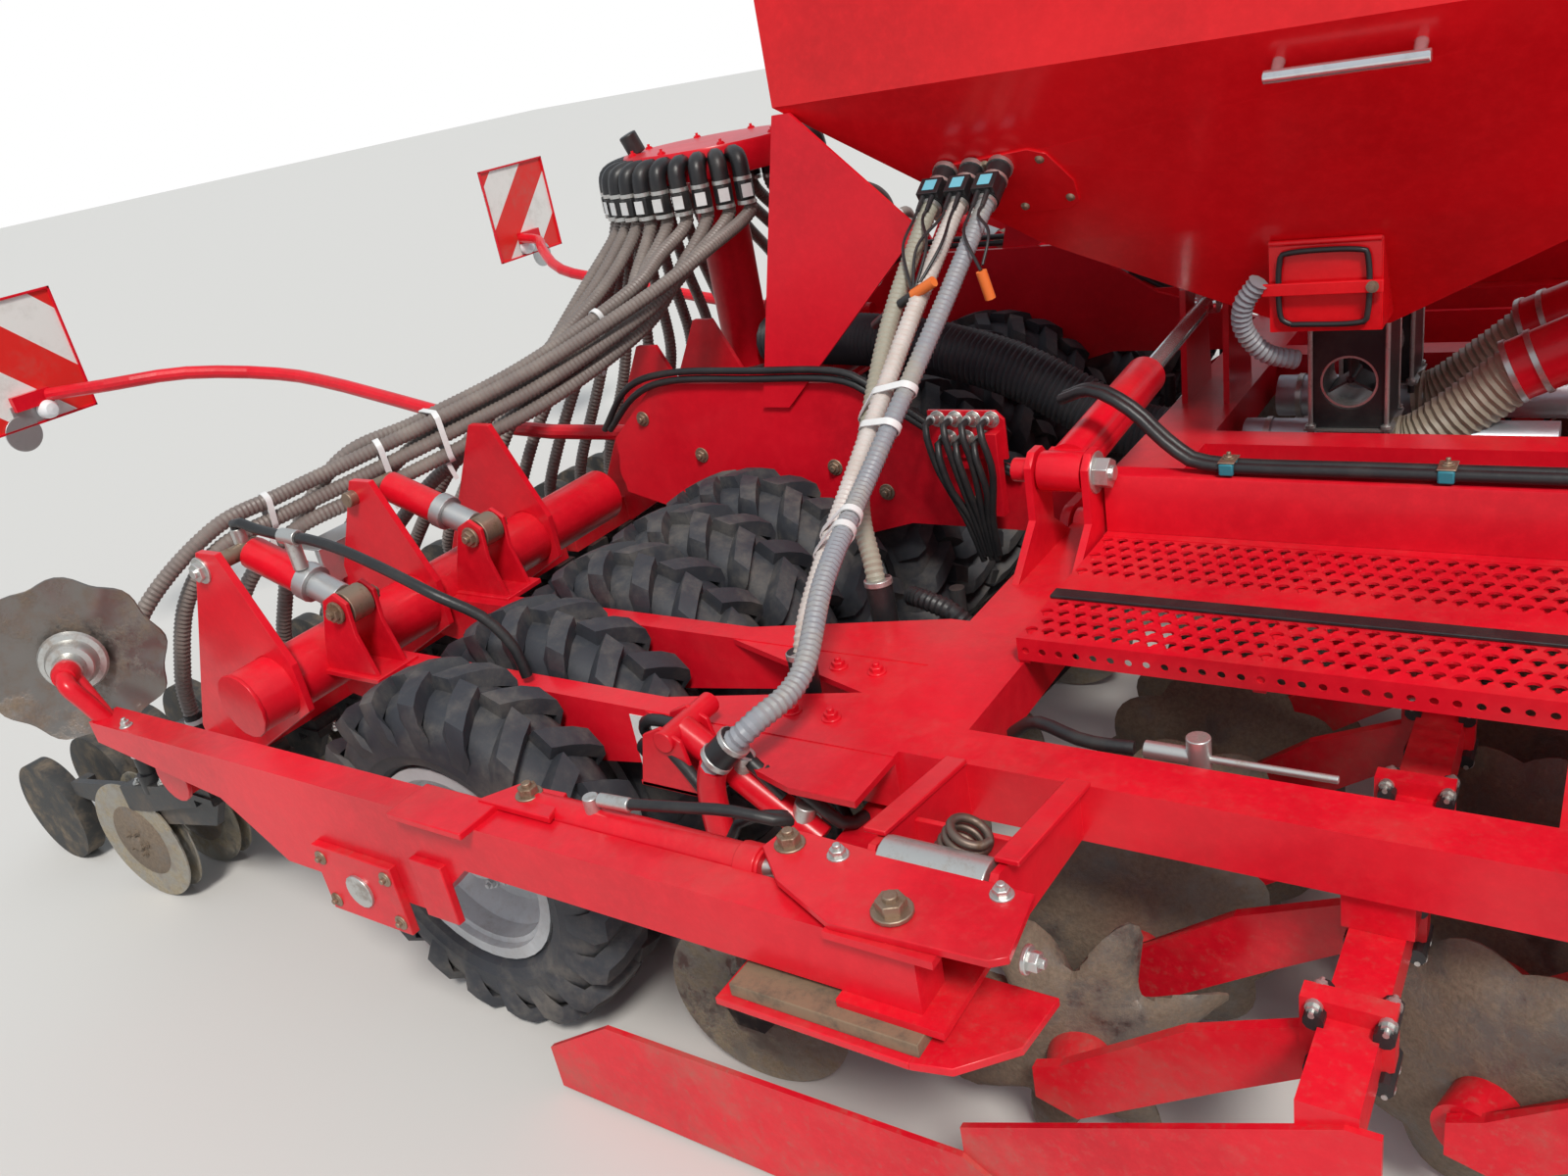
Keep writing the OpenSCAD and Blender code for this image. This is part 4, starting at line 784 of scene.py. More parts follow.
def plank(bm, low, high, rows):
    """Rows of keyholes with raised lips; each other row stands half a cell further on."""
    step_x = (WALK_X[1] - WALK_X[0]) / WALK_HOLES
    step_y = (high - low) / rows
    z = WALK_TOP - 0.001
    cell, edge = cell_with_hole(0.0115, step_x, step_y, keyhole=True)
    for rise, size in ((0.0022, 0.95), (-0.0045, 1.0)):
        edge = pull_edge(cell, edge, rise, size)
    bmesh.ops.recalc_face_normals(cell, faces=cell.faces)
    cell = pattern(cell)
    for j in range(rows):
        odd = j % 2
        for i in range(WALK_HOLES - odd):
            place = (WALK_X[0] + step_x * (i + 0.5 + 0.5 * odd), low + step_y * (j + 0.5), z)
            stamp(bm, cell, Matrix.Translation(place))
        if odd:
            for end in (WALK_X[0], WALK_X[1] - step_x / 2):
                box(bm, (end, low + step_y * j, z - 0.002),
                    (end + step_x / 2, low + step_y * (j + 1), z))


def gratings():
    """Two punched planks, a flat bar with a black strip between them, and a flange with holes."""
    (start, end), top = WALK_X, WALK_TOP
    step = (end - start) / WALK_HOLES
    flange, edge = cell_with_hole(0.0065, step, 0.038)
    pull_edge(flange, edge, -0.004)
    flange = pattern(flange)
    for side, s in SIDES.items():
        bm = bmesh.new()
        plank(bm, -1.235, -1.06, 5)
        plank(bm, -1.475, -1.335, 4)
        box(bm, (start, -1.335, top - 0.005), (end, -1.235, top))
        box(bm, (start, -1.06, 0.706), (end, -1.036, top + 0.001))
        plate(bm, [(-1.036, 0.7515), (-1.036, 0.864), (-1.034, 0.8685), (-1.0295, 0.87), (-0.99, 0.87),
            (-0.99, 0.862), (-1.028, 0.862), (-1.028, 0.7004), (-1.0355, 0.7004), (-1.0355, 0.7515)],
            "x", start, end)
        for i in range(WALK_HOLES):
            spot = (start + step * (i + 0.5), -1.49, top - 0.024)
            stamp(bm, flange, Matrix.Translation(spot) @ Matrix.Rotation(math.pi / 2, 4, "X"))
        box(bm, (start, -1.49, top - 0.005), (end, -1.475, top))
        for x in (start, 0.2, 0.68, 1.03):
            box(bm, (x, -1.486, 0.7004), (x + 0.02, -1.04, 0.745))
        if s > 0:
            to_left(bm)
        obj = piece(f"punched_walkway_{side}", bm, M["red"], f"wing_{side}", smooth=30)
        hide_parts(f"grating_{side}")
    both_sides("walkway_strip", [("box", (start, -1.337, top), (end, -1.305, top + 0.006))], "plastic")


# Seed hoses and air

NEAR_WAYS = [[(-1.985, -0.45, 1.15), (-2.03, -0.65, 0.985), (-2.12, -0.785, 0.8)],
    [(-1.915, -0.48, 1.16), (-1.965, -0.72, 1.01), (-2.07, -0.9, 0.83)], [(-1.85, -0.5, 1.17),
    (-1.905, -0.78, 1.035), (-2.03, -1.03, 0.855)]]
BUNDLE = [(0.45, -1.548, 0.156, 0.052, 1.195, 0.025), (0.64, -1.575, 0.092, 0.03, 1.09, 0.047),
    (0.96, -1.7, 0.054, 0, 0.99, 0.047), (1.22, -1.86, 0.054, 0, 0.925, 0.047),
    (1.4, -1.96, 0.054, 0, 0.89, 0.047), (1.58, -2.03, 0.054, 0, 0.865, 0.047),
    (1.76, -2.065, 0.054, 0, 0.845, 0.047)]
COULTER_WAYS = [(-0.52, -1.95, [(-0.525, -1.0, 1.17), (-0.545, -1.3, 0.965), (-0.48, -1.6, 0.89),
    (-0.42, -1.8, 0.815), (-0.44, -1.92, 0.79), (-0.505, -1.95, 0.73)]), (-0.585, -1.65,
    [(-0.588, -1.0, 1.165), (-0.59, -1.29, 0.95), (-0.56, -1.48, 0.86), (-0.532, -1.62, 0.78)]), (-0.65,
    -1.35, [(-0.645, -1.0, 1.14), (-0.61, -1.24, 0.905), (-0.55, -1.335, 0.78)])]


def outlet(degrees, r=OUTLET_R, z=OUTLET_Z):
    a = math.radians(degrees)
    return Vector((TOWER.x + r * math.cos(a), -r * math.sin(a), z))


def seed_way(degrees, middle, y):
    start = outlet(degrees)
    return [start, start - up(0.07), *middle, (-2.23, y, 0.6), (-2.27, y, 0.5), (-2.27, y, 0.43)]


def bundle_way(column, row, y):
    way = [(x - gap * (2 - column) + spread * (row - 1), -out, z + rise * row)
           for out, x, gap, spread, z, rise in BUNDLE if out < -y - 0.1]
    far = way[-1]
    return way + [((far[0] - 2.23) / 2, 0.3 * far[1] + 0.7 * y, (far[2] + 0.62) / 2 + 0.025)]


def strap(bm, routes, out):
    """A flat tie pulled tight round the hoses, where they pass a distance out from the middle."""
    centres, way = [], Vector()
    for route in routes:
        pts = curve_points(route, 0.01)
        i = next(i for i, p in enumerate(pts) if abs(p.y) > out)
        centres.append(pts[i])
        way += pts[i] - pts[i - 1]
    way.normalize()
    across = way.orthogonal().normalized()
    over = way.cross(across)
    own = bmesh.new()
    ring = []
    for i in range(28):
        a = math.tau * i / 28
        reach = across * math.cos(a) + over * math.sin(a)
        outer = max(centres, key=reach.dot)
        ring.append(own.verts.new(outer + reach * TIE_R - way * TIE_WIDE / 2))
    edges = [own.edges.new(pair) for pair in zip(ring, ring[1:] + ring[:1])]
    made = bmesh.ops.extrude_edge_only(own, edges=edges)["geom"]
    bmesh.ops.translate(own, vec=way * TIE_WIDE, verts=verts_of(made))
    bmesh.ops.recalc_face_normals(own, faces=own.faces)
    bmesh.ops.solidify(own, geom=own.faces[:], thickness=0.003)
    down = (way * way.z - up(1)).normalized()
    turn = Matrix((way, down.cross(way), down)).transposed().to_4x4()
    low = min((v.co for v in own.verts), key=lambda co: co.z)
    turn.translation = low + down * 0.022
    stamp(bm, pattern(own), Matrix.Identity(4))
    tail = box(bm, (0, -0.0015, -0.024), (TIE_WIDE * 0.8, 0.0015, 0.024))
    bmesh.ops.transform(bm, matrix=turn, verts=tail)


def straps(name, side, pulled):
    """Ties round the hoses they hold, left unattached and baked into place."""
    bm = bmesh.new()
    for routes, out in pulled:
        strap(bm, routes, out)
    bmesh.ops.recalc_face_normals(bm, faces=bm.faces)
    obj = piece(f"{name}_{side}", bm, M["white"], None, smooth=40)
    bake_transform(obj)


def seed_hoses():
    """Ribbed hoses from the distributor's outlets to the seed coulters, bundled on the way."""
    for side, s in SIDES.items():
        routes = []
        for j, degrees in enumerate(WING_OUTLETS):
            y = -COULTER_STEP * (j + 5.5)
            middle = NEAR_WAYS[j] if j < 3 else bundle_way(j // 3, j % 3, y)
            routes.append(sided(seed_way(degrees, middle, y), s))
        obj = hose(f"ribbed_hoses_{side}", routes, HOSE_R, M["seed_hose"], None,
                   pitch=HOSE_PITCH, depth=0.14, slot="hose_rubber")
        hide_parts(f"seed_hoses_{side}")
        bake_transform(obj)
        straps("seed_hose_ties", side, ((routes[3:6], 0.74), (routes[4:], 1.2), (routes[6:], 1.34),
            (routes[7:], 1.62)))
    routes = []
    for s in SIDES.values():
        for j, degrees in enumerate(CENTRE_OUTLETS):
            start, y = outlet(degrees), -COULTER_STEP * (4.5 - j)
            aside = y - start.y
            middle = [(start.x - 0.03, start.y + 0.25 * aside, 1.1),
                      (0.006 * j - 2.15, start.y + 0.75 * aside, 0.83)]
            routes.append(sided(seed_way(degrees, middle, y), s))
    obj = hose("ribbed_hoses_middle", routes, HOSE_R, M["seed_hose"], "chassis",
               pitch=HOSE_PITCH, depth=0.14, slot="hose_rubber")
    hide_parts("seed_hoses_centre")


def distributor_head():
    """The head's ring of outlets: an elbow, a sensor, two clips and a label at each."""
    bm = bmesh.new()
    lathe(bm, [(0.0, 0.032), (0.2, 0.032), (0.262, 0.03), (0.266, 0.022), (0.266, -0.04),
        (0.262, -0.055), (0.1, -0.075), (0.078, -0.12), (0.075, -0.66), (0.0, -0.66)], TOWER, "Z", 64)
    for i in range(8):
        bolt(bm, outlet(i * 45, 0.235, TOWER.z + 0.032), (0, 0, 1), 0.009, 0.006)
    obj = piece("distributor_head", bm, M["red"], "chassis", smooth=35)
    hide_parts("distributor")
    routes = []
    sensors, clips, labels = bmesh.new(), bmesh.new(), bmesh.new()
    for s in SIDES.values():
        for degrees in WING_OUTLETS + CENTRE_OUTLETS:
            end = sided([outlet(degrees)], s)[0]
            out = sided([outlet(degrees, 1, 0) - outlet(degrees, 0, 0)], s)[0]
            top = Vector((end.x, end.y, TOWER.z))
            routes.append([top - out * 0.075, top - out * 0.035, top - out * 0.008 - up(0.012), end +
                up(0.05), end + up(0.022)])
            rod(sensors, end - up(0.03), end + up(0.02), 0.0275, sides=8)
            for z in (-0.044, 0.022):
                rod(clips, end + up(z), end + up(z + 0.011), 0.0268, sides=14)
            face = Matrix.Rotation(math.atan2(out.y, out.x), 4, "Z")
            label = box(labels, (0.0255, -0.015, -0.024), (0.0285, 0.015, 0.012))
            bmesh.ops.transform(labels, matrix=Matrix.Translation(end) @ face, verts=label)
    hose("outlet_elbows", routes, 0.0255, M["plastic"], "chassis", sides=3, step=0.008)
    piece("outlet_sensors", sensors, M["plastic"], "chassis", smooth=30, bevel=0.002)
    piece("outlet_clips", clips, M["zinc"], "chassis", smooth=35)
    piece("outlet_labels", labels, M["white"], "chassis")
    bm = bmesh.new()
    rod(bm, (-1.95, -0.1, 1.49), (-1.965, -0.115, 1.55), 0.028)
    piece("head_motor", bm, M["plastic"], "chassis", smooth=30, bevel=0.004)


def air_and_metering():
    """The big air hose, the fan's pipes with their flexible ends, and the metering drums."""
    hose("air_hose", [[(-0.32, -0.15, 0.62), (-0.46, -0.15, 0.65), (-0.72, -0.15, 0.79),
        (-0.95, -0.14, 0.86), (-1.2, -0.1, 0.885), (-1.45, -0.03, 0.875), (-1.66, 0, 0.87)]], 0.078,
        M["air_hose"], "chassis", pitch=0.016, depth=0.09, sides=5)
    pipes, rings, drums, flanges = (bmesh.new() for _ in range(4))
    bends = []
    for y in METER_ROWS:
        low, high = Vector((0.42, y, 0.79)), Vector((1.31, y * 0.45, 1.2))
        rod(pipes, low, high, 0.07, sides=32)
        line = (high - low).normalized()
        for t in (0.0, 0.05):
            rod(rings, low + line * t, low + line * (t + 0.012), 0.0745, sides=32)
        bends.append([(0.18, y, 0.62), (0.24, y, 0.63), (0.33, y, 0.7), low + line * 0.03])
        for x in (-0.1, 0.2):
            rod(rings, (x, y, 0.62), (x + 0.014, y, 0.62), 0.059, sides=32)
        drum = Vector((METER_X, y, METER_Z))
        for face in (-0.07, 0.07):
            for dx in (-0.082, 0.082):
                foot = Vector((METER_X + dx, y + face * 1.07, 0.665))
                rod(rings, foot, foot + up(0.285), 0.0055, sides=10)
                rod(drums, foot - up(0.012), foot + up(0.006), 0.0085, sides=6)
                bolt(rings, foot + up(0.02), (0, 0, 1), 0.009, 0.006)
        box(rings, (0.004, y - 0.082, 0.674), (0.196, y + 0.082, 0.679))
        box(flanges, (-0.005, y - 0.085, 0.9495), (0.205, y + 0.085, 0.9545))
        lathe(rings, [(0.0625, -0.066), (0.0575, -0.066), (0.0575, 0.066), (0.0625, 0.066),
            (0.0625, -0.066)], drum, "Y", 32)
        rod(drums, drum - Vector((0, 0.05, 0)), drum + Vector((0, 0.05, 0)), 0.009, sides=12)
        for i in range(3):
            turn = Matrix.Translation(drum) @ Matrix.Rotation(0.5 + i * math.tau / 3, 4, "Y")
            vane = box(drums, (0.004, -0.05, -0.0025), (0.056, 0.05, 0.0025))
            bmesh.ops.transform(drums, matrix=turn, verts=vane)
        outer = y + math.copysign(0.0555, y)
        box(drums, (-0.09, outer - 0.004, 0.575), (0.1, outer + 0.004, 0.607))
        for x in (-0.065, -0.01, 0.045, 0.085):
            box(rings, (x, outer - 0.005, 0.59), (x + 0.006, outer + 0.005, 0.607))
    hose("flexible_bends", bends, 0.066, M["flex_hose"], "chassis", pitch=0.018, depth=0.11, sides=4)
    piece("fan_pipes", pipes, M["red"], "chassis", smooth=35)
    piece("pipe_clamps", rings, M["zinc"], "chassis", smooth=35)
    piece("metering_drums", drums, M["plastic"], "chassis", smooth=30)
    piece("metering_flanges", flanges, M["hopper"], "chassis", bevel=0.001)


def coulter_hoses():
    """Grey hoses from the taps on the hopper's slope down to the fertiliser coulters."""
    for side, s in SIDES.items():
        routes, taps, cuffs = [], bmesh.new(), bmesh.new()
        for x, y, way in COULTER_WAYS:
            foot = Vector((x, TAP_Y, TAP_Z))
            root, tip = sided([foot, foot + SLOPE_OUT * 0.03], s)
            line = (tip - root).normalized()
            for bm, low, high, r in ((cuffs, 0, 0.06, 0.0264), (cuffs, 0.06, 0.112, 0.0275),
                                     (taps, 0.004, 0.016, 0.0295), (taps, 0.047, 0.055, 0.0285),
                                     (taps, 0.113, 0.123, 0.0245)):
                rod(bm, root + line * low, root + line * high, r, sides=20)
            routes.append(sided([foot + SLOPE_OUT * 0.09, foot + SLOPE_OUT * 0.18, *way,
                (-0.53, y, 0.67), (-0.53, y, 0.6)], s))
        obj = hose(f"grey_hoses_{side}", routes, HOSE_R,
            [M["grey_hose"], M["pale_hose"], M["beige_hose"]], None, pitch=HOSE_PITCH,
            slot="hose_rubber")
        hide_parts(f"coulter_hoses_{side}")
        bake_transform(obj)
        straps("grey_hose_ties", side, ((routes, 1.13), (routes[:2], 1.2), (routes[:2], 1.42),
            (routes[:2], 1.46)))
        piece(f"hopper_taps_{side}", taps, M["zinc"], "chassis", smooth=30)
        piece(f"tap_cuffs_{side}", cuffs, M["plastic"], "chassis", smooth=30)


# Hopper, boards and lamps

def hopper_fittings():
    """The grab handle on the slope, and the access door's seal, strap and bolt."""
    bm = bmesh.new()
    left, right = Vector((0.07, -0.708, 1.545)), Vector((0.3, -0.708, 1.545))
    for end in (left, right):
        rod(bm, end, end + SLOPE_OUT * 0.045, 0.012, 0.009, sides=12)
    past = Vector((0.02, 0, 0))
    rod(bm, left + SLOPE_OUT * 0.04 - past, right + SLOPE_OUT * 0.04 + past, 0.012, sides=12)
    piece("grab_handle", bm, M["chrome"], "chassis", smooth=35, bevel=0.002)
    low, high = Vector((0.015, -0.492, 1.005)), Vector((0.185, -0.492, 1.155))
    c = 0.022
    loop = [(low.x + c, low.z), (high.x - c, low.z), (high.x, low.z + c), (high.x, high.z - c),
            (high.x - c, high.z), (low.x + c, high.z), (low.x, high.z - c), (low.x, low.z + c),
            (low.x + c, low.z)]
    hose("door_seal", [[(x, low.y, z) for x, z in loop]], 0.006, M["plastic"], "door", step=0.01)
    bm = bmesh.new()
    box(bm, (-0.02, -0.503, 1.068), (0.215, -0.494, 1.094))
    piece("door_strap", bm, M["hopper"], "door", bevel=0.002)
    bm = bmesh.new()
    bolt(bm, (0.195, -0.503, 1.081), (0, -1, 0), 0.009, 0.006)
    piece("door_bolt", bm, M["rusty"], "door")


def boards_and_lamps():
    """Striped boards in thin red rims, with a lamp and its bracket under each."""
    for side, s in SIDES.items():
        y, z, half = s * BOARD_Y, BOARD_Z, BOARD_HALF
        bm = bmesh.new()
        box(bm, (-3.869, y - half, z - half), (-3.866, y + half, z + half))
        board = piece(f"striped_board_{side}", bm, striped_board(f"stripes_{side}", s), "chassis")
        if side == "right":
            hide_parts("warning_boards")
        bm = bmesh.new()
        inner = half - 0.008
        for y0, y1, z0, z1 in ((-half, half, inner, half), (-half, half, -half, -inner),
                               (-half, -inner, -half, half), (inner, half, -half, half)):
            box(bm, (-3.87, y + y0, z + z0), (-3.858, y + y1, z + z1))
        piece(f"board_rim_{side}", bm, M["red"], "chassis", bevel=0.001)
        bm = bmesh.new()
        box(bm, (-3.864, y - 0.07, 1.0), (-3.86, y + 0.07, 1.07))
        rod(bm, (-3.864, s * 1.3, 0.975), (-3.858, s * 1.3, 0.975), 0.06, sides=32)
        piece(f"lamp_bracket_{side}", bm, M["grey_steel"], "chassis", smooth=30, bevel=0.001)
        bm = bmesh.new()
        lathe(bm, [(0.0, 0.045), (0.02, 0.042), (0.03, 0.03), (0.033, 0.012), (0.034, 0.0),
                   (0.0, 0.0)], (-3.858, s * 1.2, 1.03), "X", 24)
        piece(f"side_lamp_{side}", bm, M["lamp"], "chassis", smooth=40)


# Fittings that are alike on both sides, drawn for the right side

def marker():
    """The folded marker's plates, bolts, wooden rest, cylinder, bell hub and wavy disc."""
    top = 0.7365
    head = [(-0.3, -2.12), (-0.29, -2.07), (0.09, -2.085), (0.105, -2.2), (0.085, -2.215),
            (-0.13, -2.225), (-0.24, -2.175)]
    both_sides("marker_plate", [("plate", head, "z", 0.7245, top),
        ("box", (-0.32, -2.262, 0.566), (-0.02, -2.15, 0.578)), ("plate", [(-0.02, -2.262),
        (0.035, -2.25), (0.1, -2.185), (0.11, -2.09), (-0.02, -2.09)], "z", 0.566, 0.579)], "red",
        "marker_fork_{}")
    both_sides("marker_wood", [("box", (-0.3, -2.25, 0.578), (-0.01, -2.16, 0.5996))], "wood",
               "marker_fork_{}")
    both_sides("marker_pins", [("rod", (-0.139, -2.06, 0.71), (0.019, -2.06, 0.71), 0.036),
        ("bolt", (-0.186, -2.102, top), (0, 0, 1)), ("bolt", (0.053, -2.101, top), (0, 0, 1)),
        ("bolt", (0.103, -2.15, 0.69), (1, 0, 0), 0.014, 0.016)], "zinc", "marker_fork_{}")
    both_sides("marker_bolts", [("bolt", (-0.264, -2.103, top), (0, 0, 1), 0.017, 0.018),
        ("bolt", (-0.06, -2.18, 0.741), (0, 0, 1), 0.021, 0.018)], "rusty", "marker_fork_{}")
    both_sides("marker_arm_plates", [("box", (-0.975, -2.24, 0.706), (-0.8, -2.15, 0.719)),
        ("box", (-0.985, -2.226, 0.495), (-0.905, -2.211, 0.614)),
        ("box", (-1.27, -2.228, 0.43), (-1.05, -2.211, 0.575)),
        ("plate", [(-0.84, -2.16), (-0.8, -2.1), (-0.7, -2.095), (-0.68, -2.16)], "z", 0.711, 0.723),
        ("rod", (-0.745, -2.12, 0.7), (-0.3, -2.12, 0.7), 0.027),
        ("rod", (-0.34, -2.12, 0.7), (-0.305, -2.12, 0.7), 0.031)], "red", "marker_{}", bevel=0.002)
    latch = [("bolt", (x, -2.228, z), (0, -1, 0), 0.011, 0.004) for x in (-1.25, -1.07)
             for z in (0.455, 0.55)]
    both_sides("marker_latch", latch + [("bolt", (-0.76, -2.12, 0.723), (0, 0, 1), 0.017, 0.016)],
               "rusty", "marker_{}")
    both_sides("marker_rod", [("rod", (-0.305, -2.12, 0.7), (-0.264, -2.108, 0.7), 0.014),
        ("rod", (-0.264, -2.103, 0.675), (-0.264, -2.103, 0.722), 0.024),
        ("rod", (-1.16, -2.226, 0.5), (-1.16, -2.234, 0.5), 0.034),
        ("bolt", (-1.86, -2.195, 0.703), (0, 0, 1), 0.01),
        ("rod", (-0.62, -2.12, 0.72), (-0.62, -2.12, 0.75), 0.013),
        ("rod", (-0.6, -2.12, 0.748), (-0.54, -2.118, 0.75), 0.011)], "zinc", "marker_{}")
    both_sides_hose("marker_hose", [[(-0.55, -2.118, 0.75), (-0.46, -2.1, 0.752), (-0.38, -2.08, 0.75),
        (-0.3, -2.06, 0.735), (-0.33, -2.03, 0.72), (-0.4, -2.04, 0.7), (-0.42, -2.06, 0.66)]], 0.009,
        "plastic", "marker_{}")
    turns = [(-0.085 + 0.0011 * i + 0.027 * math.cos(a), -2.0 + 0.027 * math.sin(a), 0.655 + 0.0019 * i
        - 0.012 * math.cos(a)) for i in range(49) for a in (i * math.pi / 4,)]
    both_sides_hose("marker_spring", [turns], 0.0065, "spring", step=0.006)
    both_sides("marker_bracket", [("box", (-0.145, -1.965, 0.61), (0.025, -1.955, 0.71)),
        ("plate", [(-1.8, 0.7), (-2.05, 0.741), (-2.05, 0.75), (-1.8, 0.709)], "x", -0.175, -0.14),
        ("plate", [(-1.8, 0.7), (-2.05, 0.741), (-2.05, 0.75), (-1.8, 0.709)], "x", 0.02, 0.055)],
        "red", bevel=0.002)
    for side, s in SIDES.items():
        place = (Matrix.Translation((-2.07, s * 2.16, 0.8))
                 @ Matrix.Rotation(math.radians(-50 * s), 4, "Z")
                 @ Matrix.Rotation(-math.pi / 2 * s, 4, "X"))
        disc = lobed_disc(0.19, 0.024, 9, 0.075, wave=0.006, power=2)
        hub, sleeve = bmesh.new(), bmesh.new()
        bmesh.ops.translate(disc, vec=(0, 0, -0.042), verts=disc.verts)
        lathe(hub, [(0.0, -0.02), (0.066, -0.02), (0.07, -0.016), (0.066, -0.01), (0.054, -0.008),
            (0.05, 0.01), (0.046, 0.016), (0.034, 0.018), (0.031, 0.042), (0.0, 0.042)], (0, 0, 0), "Z",
            32)
        lathe(sleeve, [(0.0, 0.03), (0.027, 0.03), (0.028, 0.06), (0.023, 0.075), (0.0, 0.078)],
              (0, 0, 0), "Z", 32)
        for name, bm, material, slot in (("wavy_disc", disc, "marker_disc", "disc_steel"),
                                         ("bell_hub", hub, "zinc", None),
                                         ("hub_sleeve", sleeve, "red", None)):
            bmesh.ops.transform(bm, matrix=place, verts=bm.verts)
            obj = piece(f"{name}_{side}", bm, M[material], f"marker_wheel_{side}", smooth=35)
            if slot:
                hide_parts(f"marker_disc_{side}")
    both_sides_hose("marker_bend", [[(-2.015, -2.205, 0.8), (-1.99, -2.215, 0.785),
        (-1.975, -2.2, 0.74), (-1.96, -2.185, 0.69)]], 0.019, "red", "marker_{}", sides=3, step=0.01)


def seed_coulters():
    """Channel arms with bolts, and the black elbow with its clip where each hose ends."""
    arm, elbow, clip, bolts = (bmesh.new() for _ in range(4))
    plate(arm, [(-2.05, 0.36), (-2.05, 0.417), (-2.4, 0.345), (-2.48, 0.3), (-2.44, 0.265),
                (-2.3, 0.29)], "y", -0.027, 0.027)
    box(arm, (-2.06, -0.04, 0.395), (-1.94, 0.04, 0.412))
    rod(elbow, (-2.27, 0, 0.35), (-2.27, 0, 0.4), 0.03)
    rod(elbow, (-2.27, 0, 0.4), (-2.27, 0, 0.475), 0.0225)
    rod(clip, (-2.27, 0, 0.45), (-2.27, 0, 0.462), 0.0245)
    for x, z in ((-2.09, 0.41), (-2.14, 0.4), (-2.2, 0.388), (-2.33, 0.36)):
        for y in (-0.014, 0.014):
            bolt(bolts, (x, y, z), (0.2, 0, 1), 0.0075, 0.008)
    for x in (-2.08, -1.92):
        bolt(bolts, (x, 0, 0.405), (0, 0, 1), 0.008, 0.01)
    places = {body: [Matrix.Translation((0, y, 0)) for y in ys] for body, ys in COULTERS.items()}
    repeated([("coulter_channels", arm, "black"), ("hose_elbows", elbow, "plastic"),
              ("hose_clips", clip, "white"), ("coulter_bolts", bolts, "zinc")], places)


def depth_cylinders():
    """The packer's depth cylinders with their ears, pins, hose and fittings."""
    ear = [(-1.6, 0.7), (-1.57, 0.78), (-1.53, 0.87), (-1.49, 0.89), (-1.455, 0.87),
           (-1.46, 0.8), (-1.43, 0.7)]
    barrels, glands, eyes = [], [], []
    for y in (-1.48, -1.86):
        pin, eye = Vector((-1.77, y, 0.96)), Vector((-1.49, y + 0.02, 0.85))
        line = (eye - pin).normalized()
        barrels += [("rod", pin + line * 0.02, pin + line * 0.17, 0.036),
            ("plate", ear, "y", y - 0.02, y - 0.01), ("plate", ear, "y", y + 0.05, y + 0.06),
            ("box", (-1.61, y - 0.03, 0.694), (-1.42, y + 0.08, 0.706))]
        glands += [("rod", pin + line * 0.17, pin + line * 0.2, 0.041),
                   ("rod", pin + line * 0.2, eye - line * 0.03, 0.03)]
        eyes += [("rod", eye - Vector((0, 0.026, 0)), eye + Vector((0, 0.026, 0)), 0.036),
                 ("rod", pin - Vector((0, 0.11, 0)), pin + Vector((0, 0.03, 0)), 0.018)]
        eyes += [("bolt", eye + Vector((0, out * 0.045, 0)), (0, out, 0), 0.018, 0.012)
                 for out in (-1, 1)]
    both_sides("depth_barrel", barrels, "red", bevel=0.002)
    both_sides("depth_gland", glands, "grey_steel")
    both_sides("depth_eye", eyes, "rusty")
    both_sides_hose("depth_hose", [[(-1.776, -1.86, 0.99), (-1.774, -1.862, 1.022),
        (-1.745, -1.862, 1.022), (-1.702, -1.86, 1.01), (-1.593, -1.86, 1.0), (-1.541, -1.86, 1.0),
        (-1.444, -1.86, 0.986), (-1.35, -1.86, 0.961), (-1.274, -1.86, 0.937), (-1.196, -1.853, 0.903),
        (-1.13, -1.815, 0.845), (-1.09, -1.8, 0.78), (-1.075, -1.8, 0.715)]], 0.0115, "plastic")
    both_sides("depth_fittings", [("rod", (-1.593, -1.86, 0.93), (-1.593, -1.86, 1.0), 0.0155),
        ("rod", (-1.62, -1.86, 1.002), (-1.566, -1.86, 1.0), 0.0165),
        ("rod", (-1.776, -1.86, 0.975), (-1.776, -1.86, 1.008), 0.0155),
        ("bolt", (-1.77, -1.97, 0.96), (0, -1, 0), 0.022, 0.014)], "zinc")
    both_sides("hose_bracket", [("box", (-1.99, -1.62, 0.835), (-1.9, -1.44, 0.839)),
        ("box", (-1.905, -1.62, 0.745), (-1.901, -1.5, 0.839)),
        ("box", (-1.95, -1.6, 0.52), (-1.92, -1.57, 0.837))], "grey_steel")


